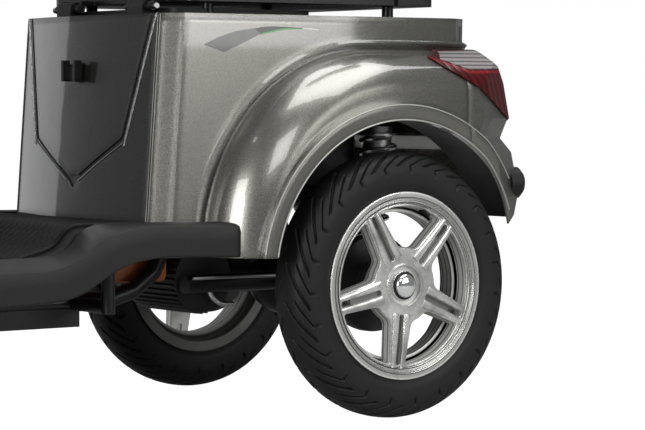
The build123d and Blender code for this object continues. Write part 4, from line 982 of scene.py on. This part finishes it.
class TRIKE_OT_gear(bpy.types.Operator):
    """Springs as helices, the motor's fins as a ring whose radius steps with the angle, and the small brake parts"""
    bl_idname = "trike.gear"
    bl_label = "Running gear"

    def execute(self, context):
        coils = 9
        for tag, _ in SIDES:
            low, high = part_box("shock_" + tag)
            x = (low.x + high.x) / 2
            foot = np.array([x, low.y + 0.022, low.z + 0.022])
            top = np.array([x, high.y - 0.022, high.z - 0.016])
            share = np.linspace(0, 1, coils * 28)[:, None]
            turn = 2 * math.pi * coils * share
            coil = foot + (top - foot) * share + 0.0265 * np.hstack([np.cos(turn), np.sin(turn), 0 * turn])
            spring = Piece("spring_" + tag).grid(tube(coil, 0.0042, 8))
            r = 0.031
            for z in (foot[2] - 0.006, top[2] + 0.001):
                y = foot[1] + (top[1] - foot[1]) * (z - foot[2]) / (top[2] - foot[2])
                spring.grid(spun([(0, r * 0.7), (0, r), (0.004, r), (0.005, r * 0.7)], (x, y, z), 36, (0, 0, 1)))
            spring.done("chassis", "spring", "bare_steel")

        radius = half_size("motor").z
        mid = Vector((0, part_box("motor")[0].y + radius, centre("motor").z))
        turn = np.linspace(0, 2 * math.pi, 288, endpoint=False)
        fin = radius - 0.0055 + 0.0055 * ease(np.cos(36 * turn), -0.1, 0.4)
        ring = np.stack([0 * turn, np.sin(turn), np.cos(turn)], -1)
        rows = []
        for along, grow in ((-.0725, -.012), (-.0715, 0), (.0715, 0), (.0725, -.012)):
            rows.append(np.array(mid) + np.array([along, 0, 0]) + ring * (fin + grow)[:, None])
        motor = Piece("motor_case").grid(np.array(rows))
        for along in (-.0748, .0708):
            cover = [(along, .030), (along, radius - .003), (along + .004, radius - .0025), (along + .004, .030)]
            motor.grid(spun(cover, mid, 60))
        neck = [(0, .020), (.0, .0235), (.145, .0235), (.146, .020)]
        motor.grid(spun(neck, (0, mid.y + radius - .002, mid.z - .003), 32, (0, 1, -0.03)))
        motor.done("chassis", "motor", "rim_alloy", ("motor",), 30)

        case = np.array([(0, y, z) for y, z in rounded(.108, .092, .010, 8) + (.232, .254)])
        side = np.array([1.0, 0, 0])
        inward = (case.mean(0) - case) * 0.06
        layers = [case + inward - side * .076, case - side * .072, case + side * .072, case + inward + side * .076]
        Piece("battery_case").grid(np.array(layers)).done("chassis", "battery", "battery_case", (), 40)

        strap = [(.086, .349, .213), (.086, .352, .199), (.086, .360, .182), (.086, .376, .171), (.086, .400, .168)]
        guard = tube(spline(strap, 40), 0.0042, 10, (1, 0, 0))
        pair("motor_guard", guard).done("chassis", "spring", "bare_steel")
        rod = [(.125, .300, .214), (.135, .420, .214), (.150, .500, .213), (.150, .545, .213)]
        pair("brake_rod", tube(spline(rod, 20), 0.0026, 8)).done("chassis", "steel", "bare_steel")

        for tag, way in SIDES:
            c = centre("brake_drum_" + tag)
            x = way * 0.2045

            def by_drum(*places):
                """Places given as (towards the middle, forward of the axle, above the axle)."""
                return [(x - way * inward, c.y - ahead, c.z + above) for inward, ahead, above in places]

            block = np.c_[np.full(24, x), rounded(.052, .034, .008, 6) + (c.y - .052, c.z + .085)]
            caliper = Piece("caliper_" + tag).grid(slab(block, 0.024, (-way, 0, 0), 0.003))
            bolt = [(0, .006), (.005, .006), (.006, .005), (.006, .0005)]
            for place in by_drum((0, .068, .085), (0, .036, .085)):
                caliper.grid(spun(bolt, place, 12, (way, 0, 0)))
            arm = by_drum((.012, .05, .075), (.014, .035, .045), (.016, .012, .012))
            caliper.grid(tube(spline(arm, 16), 0.007, 10, (1, 0, 0)))
            pipe = by_drum((.01, .052, .10), (.012, .062, .128), (.04, .075, .135), (.08, .085, .126))
            caliper.grid(tube(spline(pipe, 30), 0.003, 8))
            caliper.done("chassis", "smooth_plastic", "frame_paint")
        return {"FINISHED"}


# Seat

def seam(distance, depth, width):
    """How far a sewn channel presses in at a distance from its line."""
    return depth * np.exp(-(distance / width) ** 2)


def press_seat(points, middle):
    """Two lengthwise channels and three across between them, on the top."""
    x, y, z = points.T
    top = ease(z - middle[2], 0.0, 0.02)
    across = np.minimum.reduce([np.abs(y - middle[1] - line) for line in (-0.10, 0.0, 0.10)])
    inner = 1 - ease(np.abs(x), 0.120, 0.130)
    dip = seam(np.abs(x) - 0.130, 0.007, 0.005) + inner * seam(across, 0.005, 0.005)
    return points - np.c_[0 * x, 0 * x, dip * top]


def press_back(points, middle):
    """Two upright channels and three level ones between them, on the front."""
    x, y, z = points.T
    front = ease(middle[1] - y + 0.02, 0.0, 0.03)
    level = np.minimum.reduce([np.abs(z - middle[2] - line) for line in (-0.09, 0.0, 0.09)])
    inner = 1 - ease(np.abs(x), 0.105, 0.115)
    dip = seam(np.abs(x) - 0.115, 0.006, 0.005) + inner * seam(level, 0.005, 0.005)
    return points + np.c_[0 * x, dip * front, 0 * x]


def press_none(points, middle):
    """No seams."""
    return points


class TRIKE_OT_seat(bpy.types.Operator):
    """Seat cushion, backrest and arm pads blown up as cloth, and a rubber seal on the deck"""
    bl_idname = "trike.seat"
    bl_label = "Seat"

    def execute(self, context):
        plump("seat_cushion", "seat", 0.010, 0.016, 0.006, press_seat)
        plump("backrest_pad", "backrest", 0.009, 0.014, 0.006, press_back)
        for tag, _ in SIDES:
            plump("armrest_" + tag, "armrest_" + tag, 0.003, 0.005, 0.0035, press_none)
        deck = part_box("deck")[1].z
        ring = np.array([(x, y, deck) for x, y in rounded(.344, .256, .02, 8) + (0, .364)])
        inner = np.array([(x, y, deck) for x, y in rounded(.306, .226, .01, 8) + (0, .377)])
        lift = np.array([0, 0, 0.0088])
        seal = Piece("deck_seal").grid(np.array([ring, ring + lift, inner + lift, inner]), wrap=True)
        seal.done("chassis", "rubber", "mat_rubber")
        return {"FINISHED"}


# Steering head

class TRIKE_OT_controls(bpy.types.Operator):
    """Ribbed grips, brake levers as tapered tubes, their perches, mirror glass and the headlamp's bezel"""
    bl_idname = "trike.controls"
    bl_label = "Controls"

    def execute(self, context):
        for tag, way in SIDES:
            low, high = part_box("grip_" + tag)
            a = np.array([low.x if way > 0 else high.x, low.y, high.z]) + np.array([way * .016, .016, -.014])
            b = np.array([high.x if way > 0 else low.x, high.y, low.z]) + np.array([-way * .012, -.012, .014])
            ahead = (b - a) / np.linalg.norm(b - a)
            share = np.linspace(0, 1, 90)
            ribs = np.cos(2 * math.pi * 11 * share) * ease(share, .05, .1) * (1 - ease(share, .9, .95))
            radius = 0.0158 + 0.0009 * ribs
            radius[:4] += 0.004
            radius[-3:] -= (0.001, 0.003, 0.007)
            piece = Piece("ribbed_grip_" + tag).grid(tube(a + share[:, None] * (b - a), radius, 28))
            piece.done("steering", "rubber", "mat_rubber", ("grip_" + tag,), 60)

            out = np.cross(ahead, (0, 0, 1)) * way
            out /= np.linalg.norm(out)
            root = a - ahead * 0.030 + out * 0.018
            reach = ((0, 0), (.022, .012), (.032, .045), (.030, .085), (.033, .112))
            lever = spline([root + out * away + ahead * along for away, along in reach], 40)
            radius = np.interp(np.linspace(0, 1, 40), [0, .15, .9, .95, 1], [.006, .0048, .0042, .0062, .003])
            Piece("brake_lever_" + tag).grid(tube(lever, radius, 12)).done("steering", "steel", "bare_steel")
            clamp = np.array([a - ahead * along for along in (.046, .044, .016, .014)])
            piece = Piece("lever_perch_" + tag).grid(tube(clamp, [.0125, .015, .015, .0125], 20))
            piece.done("steering", "smooth_plastic", "black_plastic")

            points = read_points(NODES["mirror_" + tag].data)
            disc = points[points[:, 2] > points[:, 2].max() - 0.085]
            middle = (disc.max(0) + disc.min(0)) / 2
            turned = np.linalg.eigh(np.cov((disc - disc.mean(0)).T))[1]
            normal = turned[:, 0] * np.sign(turned[1, 0])
            back = ((disc - middle) @ normal).max()
            glass = spun([(0, .0440), (.0008, .0435), (.0009, .0005)], middle + normal * back, 64, normal)
            Piece("mirror_glass_" + tag).grid(glass).done("steering", "mirror", "black_plastic")

        low, mid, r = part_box("headlamp")[0], centre("headlamp"), half_size("headlamp").z
        section = np.array([(0, .995), (-.004, 1), (-.004, 1.06), (.006, 1.08), (.020, 1.06), (.020, 1)]) * (1, r)
        bezel = spun(section, (mid.x, low.y + 0.016, mid.z), 96, (0, 1, 0))
        Piece("headlamp_bezel").grid(bezel, wrap=True).done("chassis", "chrome", "hub_chrome")
        return {"FINISHED"}


class TRIKE_PT_panel(bpy.types.Panel):
    """Buttons for the steps that dress the three-wheeler"""
    bl_idname = "TRIKE_PT_panel"
    bl_label = "Trike"
    bl_space_type = "VIEW_3D"
    bl_region_type = "UI"
    bl_category = "Trike"

    def draw(self, context):
        for step in STEPS:
            self.layout.operator(step.bl_idname)


STEPS = (TRIKE_OT_stage, TRIKE_OT_finishes, TRIKE_OT_tyres, TRIKE_OT_spokes, TRIKE_OT_hubs, TRIKE_OT_floor,
         TRIKE_OT_trim, TRIKE_OT_gear, TRIKE_OT_seat, TRIKE_OT_controls)
GROUPS = {"trike_stage": TrikeStage, "trike_paint": TrikePaint, "trike_tyre": TrikeTyre, "trike_spoke": TrikeSpoke,
          "trike_floor": TrikeFloor, "trike_trim": TrikeTrim}
CLASSES = tuple(GROUPS.values()) + STEPS + (TRIKE_PT_panel,)


def register():
    for item in CLASSES:
        bpy.utils.register_class(item)
    for name, group in GROUPS.items():
        setattr(bpy.types.Scene, name, PointerProperty(type=group))


def unregister():
    for name in GROUPS:
        delattr(bpy.types.Scene, name)
    for item in reversed(CLASSES):
        bpy.utils.unregister_class(item)


def main():
    register()
    for step in STEPS:
        group, name = step.bl_idname.split(".")
        getattr(getattr(bpy.ops, group), name)()


if __name__ == "__main__":
    main()
